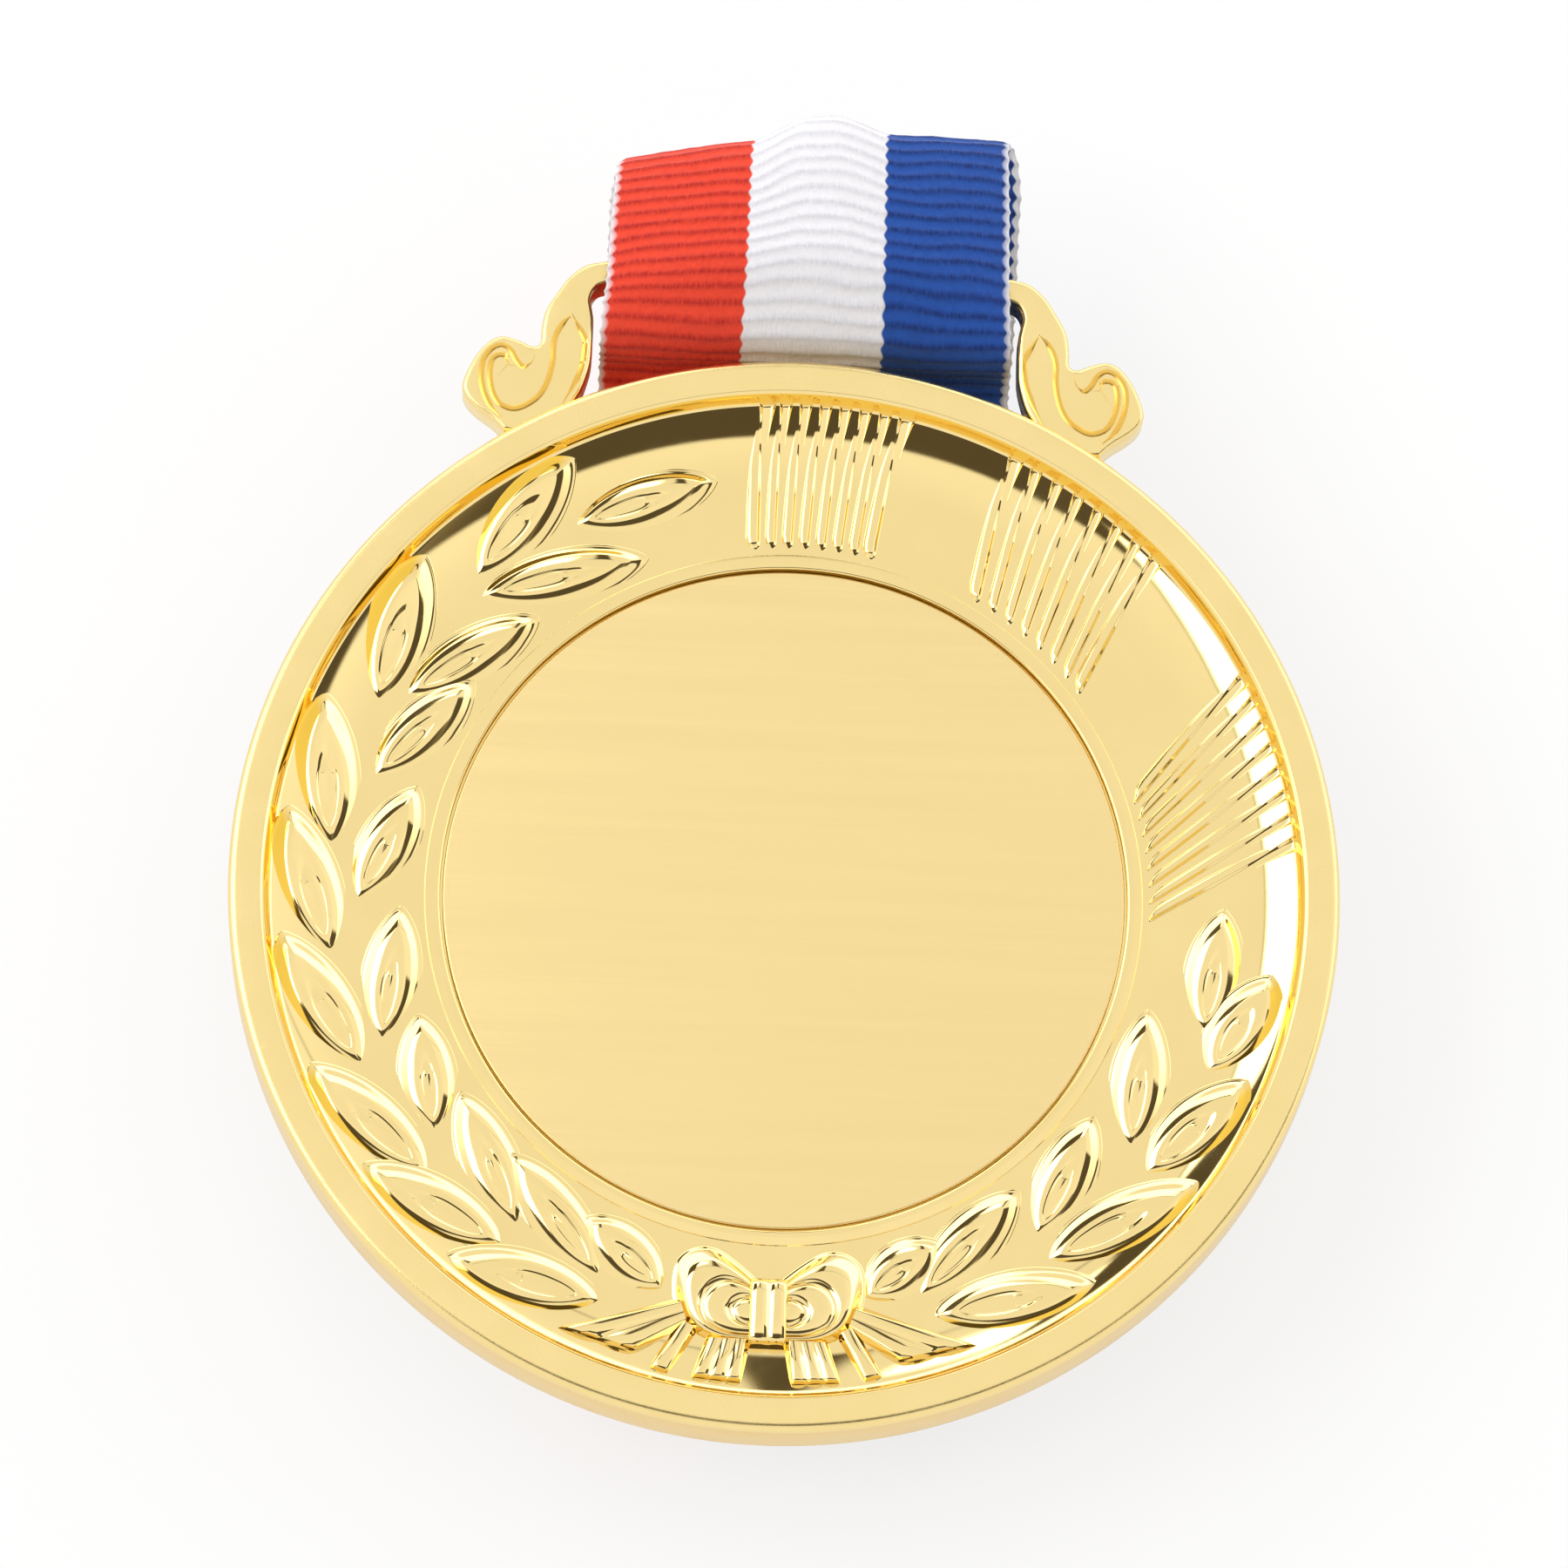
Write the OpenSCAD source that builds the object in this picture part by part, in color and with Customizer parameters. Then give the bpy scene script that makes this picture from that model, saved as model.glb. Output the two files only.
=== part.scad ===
// Award medal: a gilt cast disc with a laurel, ray panels and a bow in relief, a scrolled hanger,
// a brushed centre insert, and a striped neck ribbon that is threaded through the hanger and
// folded up under the disc. Millimetres; the medal lies face up on its folded ribbon.
// +X right across the face, +Y towards the hanger, +Z out of the face, table at z = 0.

/* [Disc] */
// Outer diameter of the disc
disc_d = 65; // [55:1:80]
// Thickness of the disc at its rim
disc_t = 4.5; // [4:0.1:6]
// Width of the flat satin band on the rim
rim_w = 1.4; // [1:0.1:2]
// Rounding of the rim's outer edges
rim_round = 0.5; // [0.2:0.05:0.7]
// Run of the sloped wall inside the rim
wall_run = 0.5; // [0.3:0.05:0.8]
// Height of the sloped wall inside the rim
wall_h = 1.1; // [0.6:0.05:1.3]
// Depth of the flat field below the rim's face
field_depth = 2.2; // [1.8:0.05:2.4]
// Width of the cove that lifts the field towards the rim
cove_w = 4.7; // [3:0.1:5]
// Width of the rim on the back
back_rim_w = 1.6; // [1:0.1:3]
// Depth of the plain field on the back
back_depth = 0.3; // [0.1:0.05:0.4]

/* [Centre insert] */
// Diameter of the brushed insert
insert_d = 40; // [36:0.5:41]
// Thickness of the brushed insert
insert_t = 0.6; // [0.4:0.05:0.8]
// Radial play of the insert in its recess
insert_play = 0.15; // [0.05:0.05:0.3]
// Thickness of the adhesive pad under the insert
adhesive_t = 0.1; // [0.05:0.05:0.2]
// Inset of the adhesive pad from the insert's edge
adhesive_inset = 0.5; // [0.2:0.1:2]
// Width of the raised lip around the recess
lip_w = 0.4; // [0.3:0.05:0.8]
// Height of the lip above the field
lip_h = 0.12; // [0.1:0.01:0.4]
// Run of the lip's soft outer slope
lip_run = 0.75; // [0.4:0.05:1]
// How far the insert's face lies below the lip
insert_sink = 0.2; // [0.1:0.05:0.3]

/* [Laurel] */
// Width of a leaf
leaf_w = 3.6; // [2.8:0.1:3.8]
// Height of a leaf above the field
leaf_h = 0.7; // [0.5:0.05:0.9]
// Length of a full-grown leaf
leaf_l = 9.6; // [7:0.1:10]
// Distance of the outer row's leaf centres from the rim's inner wall
outer_row_in = 2.5; // [2.3:0.1:3]
// Distance of the inner row's leaf centres from the lip's foot
inner_row_out = 2.2; // [2.1:0.1:3]

/* [Ray panels] */
// Ribs in a panel, end ribs included
rib_count = 8; // [5:1:10]
// Width of a thin rib
rib_w = 0.6; // [0.3:0.05:0.7]
// Width of the two end ribs
end_rib_w = 0.9; // [0.5:0.05:1.2]
// Height of a rib above the field
rib_h = 0.13; // [0.1:0.01:0.3]

/* [Bow] */
// Overall width of the bow's two loops
bow_w = 10.6; // [8:0.1:12]
// Width of the knot
knot_w = 2.1; // [1.4:0.1:3]
// Height of the bow above the field
bow_h = 1; // [0.6:0.05:1.2]
// Distance of the knot's centre from the lip's foot
bow_out = 3.8; // [3.6:0.1:4]

/* [Hanger] */
// Thickness of the hanger plate
hanger_t = 2.4; // [1.6:0.1:3]
// Height of the hanger's underside above the disc's back
hanger_lift = 1; // [0.6:0.1:1.4]
// Gap between the disc's edge and the ribbon bar
slot_h = 4.7; // [4.2:0.1:6]
// Depth of the ribbon bar
bar_w = 1.4; // [1:0.1:2]
// Sideways play of the ribbon between the hanger's scrolls
slot_play = 0.35; // [0.3:0.05:1]
// Reach of a scroll beyond the slot
scroll_w = 7.6; // [7.2:0.1:9]

/* [Ribbon] */
// Width of the ribbon
ribbon_w = 24.6; // [20:0.1:26]
// Thickness of the ribbon
ribbon_t = 0.4; // [0.3:0.05:0.5]
// Gap between the folded layers
ribbon_gap = 0.45; // [0.42:0.01:0.8]
// Folded layers under the disc
pleats = 12; // [8:2:14]
// Reach of the ribbon's top fold beyond the ribbon bar
loop_reach = 8.4; // [6:0.1:14]
// Rise of the front strand's middle above its edges
ribbon_bow = 2.6; // [0:0.1:2.8]
// How far the top fold leans out at the right edge and in at the left edge
fold_skew = 0.8; // [0:0.1:1.5]
// Distance of the front folds inside the disc's edge
hank_front_in = 1.6; // [1.4:0.1:3]
// Distance of the back folds inside the disc's edge
hank_back_in = 7.2; // [4:0.1:10]
// Length of the sewn overlap of the ribbon's ends
lap_l = 14; // [8:1:30]
// Clearance between the disc's back and the folded ribbon
rest_gap = 0.45; // [0.3:0.05:1]
// Clearance between the turning bar and the ribbon
bar_play = 0.5; // [0.35:0.05:1]
// Distance of the seam's rows from the overlap's ends
seam_inset = 2; // [1:0.1:3]
// Stitches in each row of the seam
stitch_count = 10; // [6:1:12]
// Width of a stitch
stitch_w = 0.3; // [0.2:0.05:0.4]

/* [Hidden] */

$fn = 96;
gilt = [0.96, 0.83, 0.48];
brushed_gilt = [0.97, 0.86, 0.6];
adhesive_grey = [0.75, 0.75, 0.72];
ribbon_red = [0.86, 0.2, 0.16];
ribbon_blue = [0.16, 0.31, 0.66];
thread_white = [0.95, 0.95, 0.95];

// Radii of the disc's face, from the outside in
disc_r = disc_d / 2;
rim_in_r = disc_r - rim_round - rim_w;
wall_r = rim_in_r - wall_run;
cove_r = wall_r - cove_w;
recess_r = insert_d / 2 + insert_play;
lip_r = recess_r + lip_w;
lip_foot_r = lip_r + lip_run;

// Heights above the disc's back
field_z = disc_t - field_depth;
wall_z = disc_t - wall_h;
lip_z = field_z + lip_h;
insert_top_z = lip_z - insert_sink;
recess_z = insert_top_z - insert_t - adhesive_t;

// Stack of ribbon layers under the disc
pitch = ribbon_t + ribbon_gap;
stack_h = (pleats - 1) * pitch + 2 * ribbon_t;
disc_z = stack_h + rest_gap;
hank_front_y = disc_r - hank_front_in;
hank_back_y = hank_back_in - disc_r;

// Ribbon bar and the slot it closes
bar_y0 = disc_r + slot_h;
bar_y = bar_y0 + bar_w / 2;
bar_z = disc_z + hanger_lift + hanger_t / 2;
bar_swing_r = norm([bar_w / 2, hanger_t / 2]);
slot_hw = ribbon_w / 2 + slot_play;

// Points on a circular arc in the plane
function arc(c, r, a0, a1, n) = [for (i = [0:n]) let (a = a0 + (a1 - a0) * i / n) c + r * [cos(a), sin(a)]];

// Smooth curve through hand-placed points, open, n steps for each span
function span_point(a, b, c, d, t) =
    b + t / 2 * (c - a + t * (2 * a - 5 * b + 4 * c - d + t * (3 * (b - c) + d - a)));
function smooth(p, n) = [
    for (i = [0:len(p) - 2], k = [0:n - 1])
        span_point(i > 0 ? p[i - 1] : 2 * p[0] - p[1], p[i], p[i + 1],
            i < len(p) - 2 ? p[i + 2] : 2 * p[i + 1] - p[i], k / n),
    p[len(p) - 1]
];

// Face profile from the lip to the rim's wall as [radius, height]; the reliefs stand on it too
cove_rise = wall_z - field_z;
cove_bend_r = (cove_w * cove_w + cove_rise * cove_rise) / (2 * cove_rise);
cove_end = asin(cove_w / cove_bend_r);
cove_points = arc([cove_r, field_z + cove_bend_r], cove_bend_r, -90, cove_end - 90, 10);
field_profile = concat([[lip_r, lip_z], [lip_foot_r, field_z]], cove_points);
function face_z(x, y) = lookup(norm([x, y]), field_profile);

// Puts a shape that is drawn above the disc's back at the disc's height over the table
module on_disc() {
    translate([0, 0, disc_z])
        children();
}

// Relief that stands on the face: grid[row][column] = [x, y, height above the face]
module relief(grid) {
    rows = len(grid);
    cols = len(grid[0]);
    last = cols - 1;
    span = cols + 2;
    points = [
        for (row = grid)
            each concat([for (p = row) [p.x, p.y, face_z(p.x, p.y) + p.z]],
                [for (p = [row[0], row[last]]) [p.x, p.y, face_z(p.x, p.y)]])
    ];
    tops = [
        for (i = [0:rows - 2], j = [0:last - 1])
            let (a = i * span + j, b = a + span)
            each [[a, b + 1, b], [a, a + 1, b + 1]]
    ];
    unders = [
        for (i = [0:rows - 2])
            let (a = i * span + cols, b = a + span)
            each [[a, b, b + 1], [a, b + 1, a + 1]]
    ];
    walls = [
        for (i = [0:rows - 2])
            let (a = i * span, b = a + span)
            each [[a + cols, a, b], [a + cols, b, b + cols],
                [b + cols + 1, b + last, a + last], [b + cols + 1, a + last, a + cols + 1]]
    ];
    far = (rows - 1) * span;
    ends = [
        [cols + 1, each [for (j = [last:-1:0]) j], cols],
        [far + cols, each [for (j = [0:last]) far + j], far + cols + 1]
    ];
    polyhedron(points, concat(tops, unders, walls, ends));
}

// Cast disc: satin rim, sloped wall, coved field, lip and recess; plain field on the back
module medal_disc() {
    profile = concat(
        [[0, back_depth], [disc_r - rim_round - back_rim_w, back_depth],
            [disc_r - rim_round - back_rim_w, 0]],
        arc([disc_r - rim_round, rim_round], rim_round, -90, 0, 5),
        arc([disc_r - rim_round, disc_t - rim_round], rim_round, 0, 90, 5),
        [[rim_in_r, disc_t]],
        [for (i = [len(field_profile) - 1:-1:0]) field_profile[i]],
        [[recess_r, lip_z], [recess_r, recess_z], [0, recess_z]]);
    color(gilt)
        on_disc()
            rotate_extrude($fn = 180)
                polygon(profile);
}

// Leaves of each branch as [angle round the disc, share of the full length], from its tip to the bow
left_tip = [111, 0.96];
left_outer = [[126, 1], [147, 1.02], [167, 1], [181, 1], [196, 1], [212, 1.02], [225, 1], [239, 1]];
left_inner = [
    [126, 1.1], [144, 1], [157, 0.9], [175, 0.85], [194.5, 0.9], [210, 0.78], [225.5, 0.95], [238, 0.98],
    [249, 0.67]
];
right_tip = [-8, 0.83];
right_outer = [[-14, 0.75], [-28, 0.88], [-43, 1.07], [-59, 1.04]];
right_inner = [[-26, 0.92], [-44, 0.86], [-61, 0.94], [-71, 0.6]];
outer_lean = 18;
inner_lean = -20;
outer_r = wall_r - outer_row_in;
inner_r = lip_foot_r + inner_row_out;
leaf_steps = 7;
leaf_tip_hw = 0.12;
// Section of a leaf as [place across, share of the height]: steep flanks and a sunk midrib
leaf_section = [[-1, 0.35], [-0.55, 1], [0, 0.8], [0.55, 1], [1, 0.35]];

// One almond leaf round the disc at angle a and radius r; turn is 1 or -1 for the way its tip points
module leaf(a, r, l, lean, turn) {
    out = [cos(a), sin(a)];
    along = turn * cos(lean) * [-out.y, out.x] + sin(lean) * out;
    across = [-along.y, along.x];
    relief([
        for (i = [0:leaf_steps])
            let (u = i / leaf_steps, swell = sin(180 * u))
            let (hw = max(leaf_tip_hw, leaf_w / 2 * pow(swell, 0.8)), h = leaf_h * (0.4 + 0.6 * swell))
            let (mid = r * out + (u - 0.5) * l * along)
            [for (s = leaf_section) concat(mid + s[0] * hw * across, [s[1] * h])]
    ]);
}

// One laurel branch: an outer row that leans out, an inner row that leans in, and a leaf at its tip
module branch(tip, outer, inner, turn) {
    color(gilt)
        on_disc() {
            leaf(tip[0], (outer_r + inner_r) / 2, tip[1] * leaf_l, 0, turn);
            for (s = outer)
                leaf(s[0], outer_r, s[1] * leaf_l, outer_lean, turn);
            for (s = inner)
                leaf(s[0], inner_r, s[1] * leaf_l, inner_lean, turn);
        }
}

module laurel_left() {
    branch(left_tip, left_outer, left_inner, -1);
}

module laurel_right() {
    branch(right_tip, right_outer, right_inner, 1);
}

// Panels of rays as [first, last] angles of the ribs at the rim and at the lip
top_panel = [[94.7, 78.9], [96.2, 77.9]];
upper_panel = [[65.7, 46], [59.8, 37.9]];
side_panel = [[28.9, 9], [18, -1.3]];
rib_steps = 8;
seat_gap = 0.05;
// Section of a rib as [place across, share of the height]
rib_section = [[-1, 0.15], [0, 1], [1, 0.15]];

// One straight rib from the lip's foot to the rim's wall, pointed at the lip
module rib(rim_angle, lip_angle, w) {
    foot = (lip_foot_r + seat_gap) * [cos(lip_angle), sin(lip_angle)];
    head = (wall_r - seat_gap) * [cos(rim_angle), sin(rim_angle)];
    along = (head - foot) / norm(head - foot);
    across = [-along.y, along.x];
    relief([
        for (i = [0:rib_steps])
            let (u = i / rib_steps, grow = min(1, 0.35 + 2.5 * u))
            let (mid = foot + u * (head - foot))
            [for (s = rib_section) concat(mid + s[0] * w / 2 * grow * across, [s[1] * rib_h * grow])]
    ]);
}

// One panel of rays, with a wider rib at each end
module ray_panel(panel) {
    color(gilt)
        on_disc()
            for (i = [0:rib_count - 1])
                let (f = i / (rib_count - 1), at_end = i == 0 || i == rib_count - 1)
                rib(panel[0][0] + f * (panel[0][1] - panel[0][0]),
                    panel[1][0] + f * (panel[1][1] - panel[1][0]), at_end ? end_rib_w : rib_w);
}

module rays_top() {
    ray_panel(top_panel);
}

module rays_upper_right() {
    ray_panel(upper_panel);
}

module rays_right() {
    ray_panel(side_panel);
}

// Bow: its centre line, the loops' edges as [share of the loop's width, lower edge, upper edge]
bow_y = -(lip_foot_r + bow_out);
bow_hw = bow_w / 2;
knot_hw = knot_w / 2;
tail_seat = 0.15;
tail_r = wall_r - tail_seat;
loop_edges = [
    [0, -1.8, 2], [0.21, -1.8, 2.9], [0.44, -1.8, 3.5], [0.67, -1.75, 3.55], [0.84, -1, 3.3],
    [0.93, 0, 2.95], [1, 1.2, 2.4]
];
// Sections as [place across, share of the height]: a puffed loop with a sunk middle, and a folded tail
loop_section = [[0, 0.35], [0.2, 0.9], [0.5, 0.6], [0.78, 1], [1, 0.35]];
tail_section = [[0, 0.25], [0.3, 0.65], [0.5, 0.5], [0.7, 0.65], [1, 0.25]];
knot_section = [[-1, 0.7], [-0.5, 1.15], [0, 0.95], [0.5, 1.15], [1, 0.7]];
tail_steps = 4;

// A tail between a root edge and an end edge, each given as its two corners
module tail(root, end) {
    relief([
        for (i = [0:tail_steps])
            let (u = i / tail_steps)
            let (a = root[0] + u * (end[0] - root[0]), b = root[1] + u * (end[1] - root[1]))
            [for (s = tail_section) concat(a + s[0] * (b - a), [s[1] * bow_h])]
    ]);
}

function at_tail_r(x) = [x, -sqrt(tail_r * tail_r - x * x)];

// Right half of the bow: one loop and three tails
module half_bow() {
    relief([
        for (e = loop_edges)
            let (x = knot_hw - seat_gap + e[0] * (bow_hw - knot_hw))
            [for (s = loop_section) [x, bow_y + e[1] + s[0] * (e[2] - e[1]), s[1] * bow_h]]
    ]);
    root_y = bow_y - 1.75;
    tail([[knot_hw, root_y], [knot_hw + 2.2, root_y]],
        [at_tail_r(knot_hw + 0.3), at_tail_r(knot_hw + 3.2)]);
    tail([[bow_hw - 1.2, root_y + 0.2], [bow_hw - 0.5, root_y + 0.6]],
        [at_tail_r(bow_hw + 0.1), at_tail_r(bow_hw + 1.2)]);
    tail([[bow_hw - 0.5, root_y + 0.6], [bow_hw - 0.3, bow_y]],
        [at_tail_r(bow_hw + 4.6), at_tail_r(bow_hw + 6.4)]);
}

// Bow in relief at the foot of the face
module bow() {
    color(gilt)
        on_disc() {
            half_bow();
            mirror([1, 0, 0])
                half_bow();
            relief([
                for (s = knot_section)
                    [for (c = [[-2, 0.6], [-1.6, 1], [1.8, 1], [2.2, 0.6]])
                        [s[0] * knot_hw, bow_y + c[0], s[1] * c[1] * bow_h]]
            ]);
        }
}

// Hanger outline, right half, measured from the slot's side and the disc's edge
scroll_inner = [
    [-1, slot_h], [-0.15, slot_h - 0.3], [0.2, slot_h - 1], [0.1, slot_h - 1.7], [0, slot_h - 2.4],
    [0, 0.6], [0.05, -0.3], [0.25, -1.2], [0.55, -2.1], [1, -2.9]
];
scroll_outer = [
    [scroll_w - 2.6, -4.85], [scroll_w - 1.87, -4.15], [scroll_w - 0.9, -3.46], [scroll_w - 0.25, -2.8],
    [scroll_w, -2.05], [scroll_w - 0.3, -1], [scroll_w - 0.85, 0.05], [scroll_w - 1.6, 0.88],
    [scroll_w - 2.35, 1.12], [scroll_w - 3.3, 0.88], [scroll_w - 4.05, 0.58], [scroll_w - 4.5, 0.8],
    [scroll_w - 4.55, 1.7], [scroll_w - 4.75, 2.85], [scroll_w - 5.35, 3.95], [scroll_w - 6.05, 5],
    [scroll_w - 7, slot_h + bar_w - 0.3], [-0.5, slot_h + bar_w]
];
scroll_root = [[1.4, -6], [scroll_w - 3.4, -7]];
scroll_steps = 4;

// Hanger: two scrolls that carry the ribbon bar, seated on the disc's edge
module hanger() {
    half = concat(smooth(scroll_inner, scroll_steps), scroll_root, smooth(scroll_outer, scroll_steps));
    right = [for (p = half) p + [slot_hw, disc_r]];
    left = [for (i = [len(right) - 1:-1:0]) [-right[i].x, right[i].y]];
    color(gilt)
        on_disc()
            difference() {
                translate([0, 0, hanger_lift])
                    linear_extrude(hanger_t)
                        polygon(concat(right, left));
                cylinder(r = disc_r, h = disc_t, $fn = 180);
            }
}

// Brushed disc that fills the recess
module insert_disc() {
    color(brushed_gilt)
        on_disc()
            translate([0, 0, insert_top_z - insert_t])
                cylinder(d = insert_d, h = insert_t, $fn = 180);
}

// Thin adhesive pad that holds the insert
module insert_adhesive() {
    color(adhesive_grey)
        on_disc()
            translate([0, 0, recess_z])
                cylinder(r = insert_d / 2 - adhesive_inset, h = adhesive_t, $fn = 180);
}

// Ribbon route seen from the side, as [y, z] on its middle; the lowest layer carries the sewn overlap
turn_steps = 8;
loop_steps = 4;
function layer_z(k) = ribbon_t / 2 + (k > 0 ? ribbon_t : 0) + k * pitch;
function turn(k) =
    let (z0 = layer_z(k - 1), z1 = layer_z(k), back = k % 2 == 1)
    arc([back ? hank_back_y : hank_front_y, (z0 + z1) / 2], (z1 - z0) / 2, 90, back ? 270 : -90, turn_steps);
hank_path = concat([[hank_front_y, layer_z(pleats - 1)]],
    [for (k = [pleats - 1:-1:1]) each turn(k)], [[hank_front_y, layer_z(0)]]);

over_z = bar_z + bar_swing_r + bar_play + ribbon_t / 2;
crest_y = bar_y0 + bar_w + loop_reach;
// Points of the threaded loop: up through the slot, over the bar, round the top fold and down behind
loop_points = [
    [hank_front_y, layer_z(pleats - 1)], [disc_r + 0.3, layer_z(pleats - 1)],
    [disc_r + 0.4 * slot_h, disc_z + 0.5], [bar_y0 - 0.46 * slot_h, bar_z], [bar_y0 - 0.6, over_z - 0.5],
    [bar_y, over_z], [crest_y - 0.5 * loop_reach, over_z - 0.4], [crest_y - 1, bar_z + 0.8],
    [crest_y, bar_z - 0.7], [crest_y - 1.2, bar_z - 2.1], [bar_y + 0.35 * loop_reach, disc_z - 1.8],
    [bar_y - 1.2, 0.55 * disc_z], [disc_r + 1.8, 0.25 * disc_z], [disc_r + 0.9, ribbon_t / 2 + 0.9],
    [disc_r - 0.4, ribbon_t / 2 + 0.12], [hank_front_y, ribbon_t / 2]
];
loop_path = smooth(loop_points, loop_steps);
// Share of the bow across the width along the loop, from the slot over the top fold to the back
bow_share = [[0, 0], [0.2, 0], [0.38, 1], [0.56, 1], [0.72, 0], [1, 0]];
// Share of the top fold's lean along the loop
skew_share = [[0, 0], [0.3, 0], [0.5, 1], [0.58, 1], [0.7, 0], [1, 0]];
// Places across the ribbon, as shares of its half width
loop_across = [-1, -0.75, -0.5, -0.25, 0, 0.25, 0.5, 0.75, 1];

function heading(path, i) =
    let (d = path[min(i + 1, len(path) - 1)] - path[max(i - 1, 0)])
    d / norm(d);
function beside(path, i, side) = path[i] + side * ribbon_t / 2 * [-heading(path, i)[1], heading(path, i)[0]];

// Folded length of the ribbon under the disc, with the overlap where its ends are sewn
module ribbon_hank() {
    last = len(hank_path) - 1;
    lap = [
        [-lap_l / 2, ribbon_t], [-lap_l / 2, 2 * ribbon_t], [lap_l / 2, 2 * ribbon_t], [lap_l / 2, ribbon_t]
    ];
    outline = concat([for (i = [0:last - 1]) beside(hank_path, i, 1)], lap,
        [for (i = [last:-1:0]) each i == last ? [beside(hank_path, i, 1), beside(hank_path, i, -1)]
            : [beside(hank_path, i, -1)]]);
    color(ribbon_red)
        rotate([90, 0, 90])
            linear_extrude(ribbon_w, center = true)
                polygon(outline);
}

// Threaded loop of the ribbon, bowed across its width where it shows
module ribbon_loop() {
    rows = len(loop_path);
    cols = len(loop_across);
    points = [
        for (side = [1, -1], i = [0:rows - 1], s = loop_across)
            let (p = beside(loop_path, i, side), f = i / (rows - 1))
            let (rise = ribbon_bow * lookup(f, bow_share), lean = fold_skew * lookup(f, skew_share))
            [s * ribbon_w / 2, p[0] + s * lean, p[1] + rise * (1 - s * s)]
    ];
    under = rows * cols;
    faces = [
        for (i = [0:rows - 2], j = [0:cols - 2])
            let (a = i * cols + j, b = a + cols)
            each [[a, b, b + 1], [a, b + 1, a + 1], [under + a, under + b + 1, under + b],
                [under + a, under + a + 1, under + b + 1]]
    ];
    edges = [
        for (i = [0:rows - 2])
            let (a = i * cols, b = a + cols, c = a + cols - 1, d = b + cols - 1)
            each [[a, under + b, b], [a, under + a, under + b], [c, d, under + d], [c, under + d, under + c]]
    ];
    far = (rows - 1) * cols;
    ends = [
        for (j = [0:cols - 2])
            each [[j, j + 1, under + j + 1], [j, under + j + 1, under + j],
                [far + j, under + far + j + 1, far + j + 1], [far + j, under + far + j, under + far + j + 1]]
    ];
    color(ribbon_blue)
        polyhedron(points, concat(faces, edges, ends));
}

// Two rows of thread across the sewn overlap
module seam_stitching() {
    stitch_pitch = ribbon_w / (stitch_count + 1);
    stitch_l = 0.7 * stitch_pitch;
    color(thread_white)
        for (y = [seam_inset - lap_l / 2, lap_l / 2 - seam_inset], i = [1:stitch_count])
            translate([i * stitch_pitch - ribbon_w / 2 - stitch_l / 2, y, 2 * ribbon_t])
                rotate([90, 0, 90])
                    linear_extrude(stitch_l)
                        intersection() {
                            circle(d = stitch_w, $fn = 24);
                            translate([-stitch_w / 2, 0])
                                square([stitch_w, stitch_w]);
                        }
}

// Length of the ribbon, and its least gap to itself, measured on the points of its route
ribbon_path = concat(hank_path, [for (i = [len(loop_path) - 2:-1:1]) loop_path[i]]);
function path_length(p, i = 1) = i < len(p) ? norm(p[i] - p[i - 1]) + path_length(p, i + 1) : 0;
least_gap = min([
    for (i = [0:len(ribbon_path) - 1], j = [i + turn_steps:1:len(ribbon_path) - 1])
        if (i + len(ribbon_path) - j >= turn_steps) norm(ribbon_path[i] - ribbon_path[j])
]) - ribbon_t;
echo(ribbon_length = path_length(ribbon_path), least_ribbon_gap = least_gap);

medal_disc();
hanger();
laurel_left();
laurel_right();
rays_top();
rays_upper_right();
rays_right();
bow();
insert_disc();
insert_adhesive();
ribbon_loop();
ribbon_hank();
seam_stitching();
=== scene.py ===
# %% [markdown]
# # A gilt award medal on its folded neck ribbon
# The part is already built as solids: a cast disc with a laurel, rays and a bow in relief, a scrolled
# hanger, a brushed centre insert and a striped ribbon. This lesson gives each of them the surface that
# the real one has. Lengths are written in millimetres, as a die maker would, and become metres only
# when a mesh is made.

# %% Load the frame
import math

import bmesh
import bpy
import numpy as np
from mathutils import Matrix, Vector
from mathutils.geometry import delaunay_2d_cdt


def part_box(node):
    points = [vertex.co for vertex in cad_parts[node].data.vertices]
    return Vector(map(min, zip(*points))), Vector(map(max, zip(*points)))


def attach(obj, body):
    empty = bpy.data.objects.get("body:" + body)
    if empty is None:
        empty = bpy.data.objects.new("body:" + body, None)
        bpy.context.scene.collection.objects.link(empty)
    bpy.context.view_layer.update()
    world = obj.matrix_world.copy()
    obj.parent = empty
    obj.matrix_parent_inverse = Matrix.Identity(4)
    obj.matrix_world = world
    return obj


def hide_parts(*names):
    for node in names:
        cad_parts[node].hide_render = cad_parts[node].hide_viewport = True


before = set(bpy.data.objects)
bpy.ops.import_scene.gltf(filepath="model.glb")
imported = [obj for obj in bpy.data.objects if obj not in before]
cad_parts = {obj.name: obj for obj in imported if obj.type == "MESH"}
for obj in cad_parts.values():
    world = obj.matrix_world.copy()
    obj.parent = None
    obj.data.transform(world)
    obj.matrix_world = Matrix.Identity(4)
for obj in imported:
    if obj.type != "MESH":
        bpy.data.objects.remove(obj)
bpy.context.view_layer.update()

MM = 0.001
disc_low, disc_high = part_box("medal_disc")
disc_r = disc_high.x / MM
disc_z = disc_low.z / MM
disc_t = (disc_high.z - disc_low.z) / MM
disc_top = disc_z + disc_t
print(f"disc radius {disc_r:.2f}, thickness {disc_t:.2f}, its back {disc_z:.2f} over the table")

# %% [markdown]
# ## The camera
# The medal is seen almost from above, from a little below its foot, and turned a few degrees. A long
# lens from 0.6 m keeps the rim nearly a true circle. The angles were found by fitting the rim, the
# insert and the hanger to ellipses, which is surer than moving a camera by eye.

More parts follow.
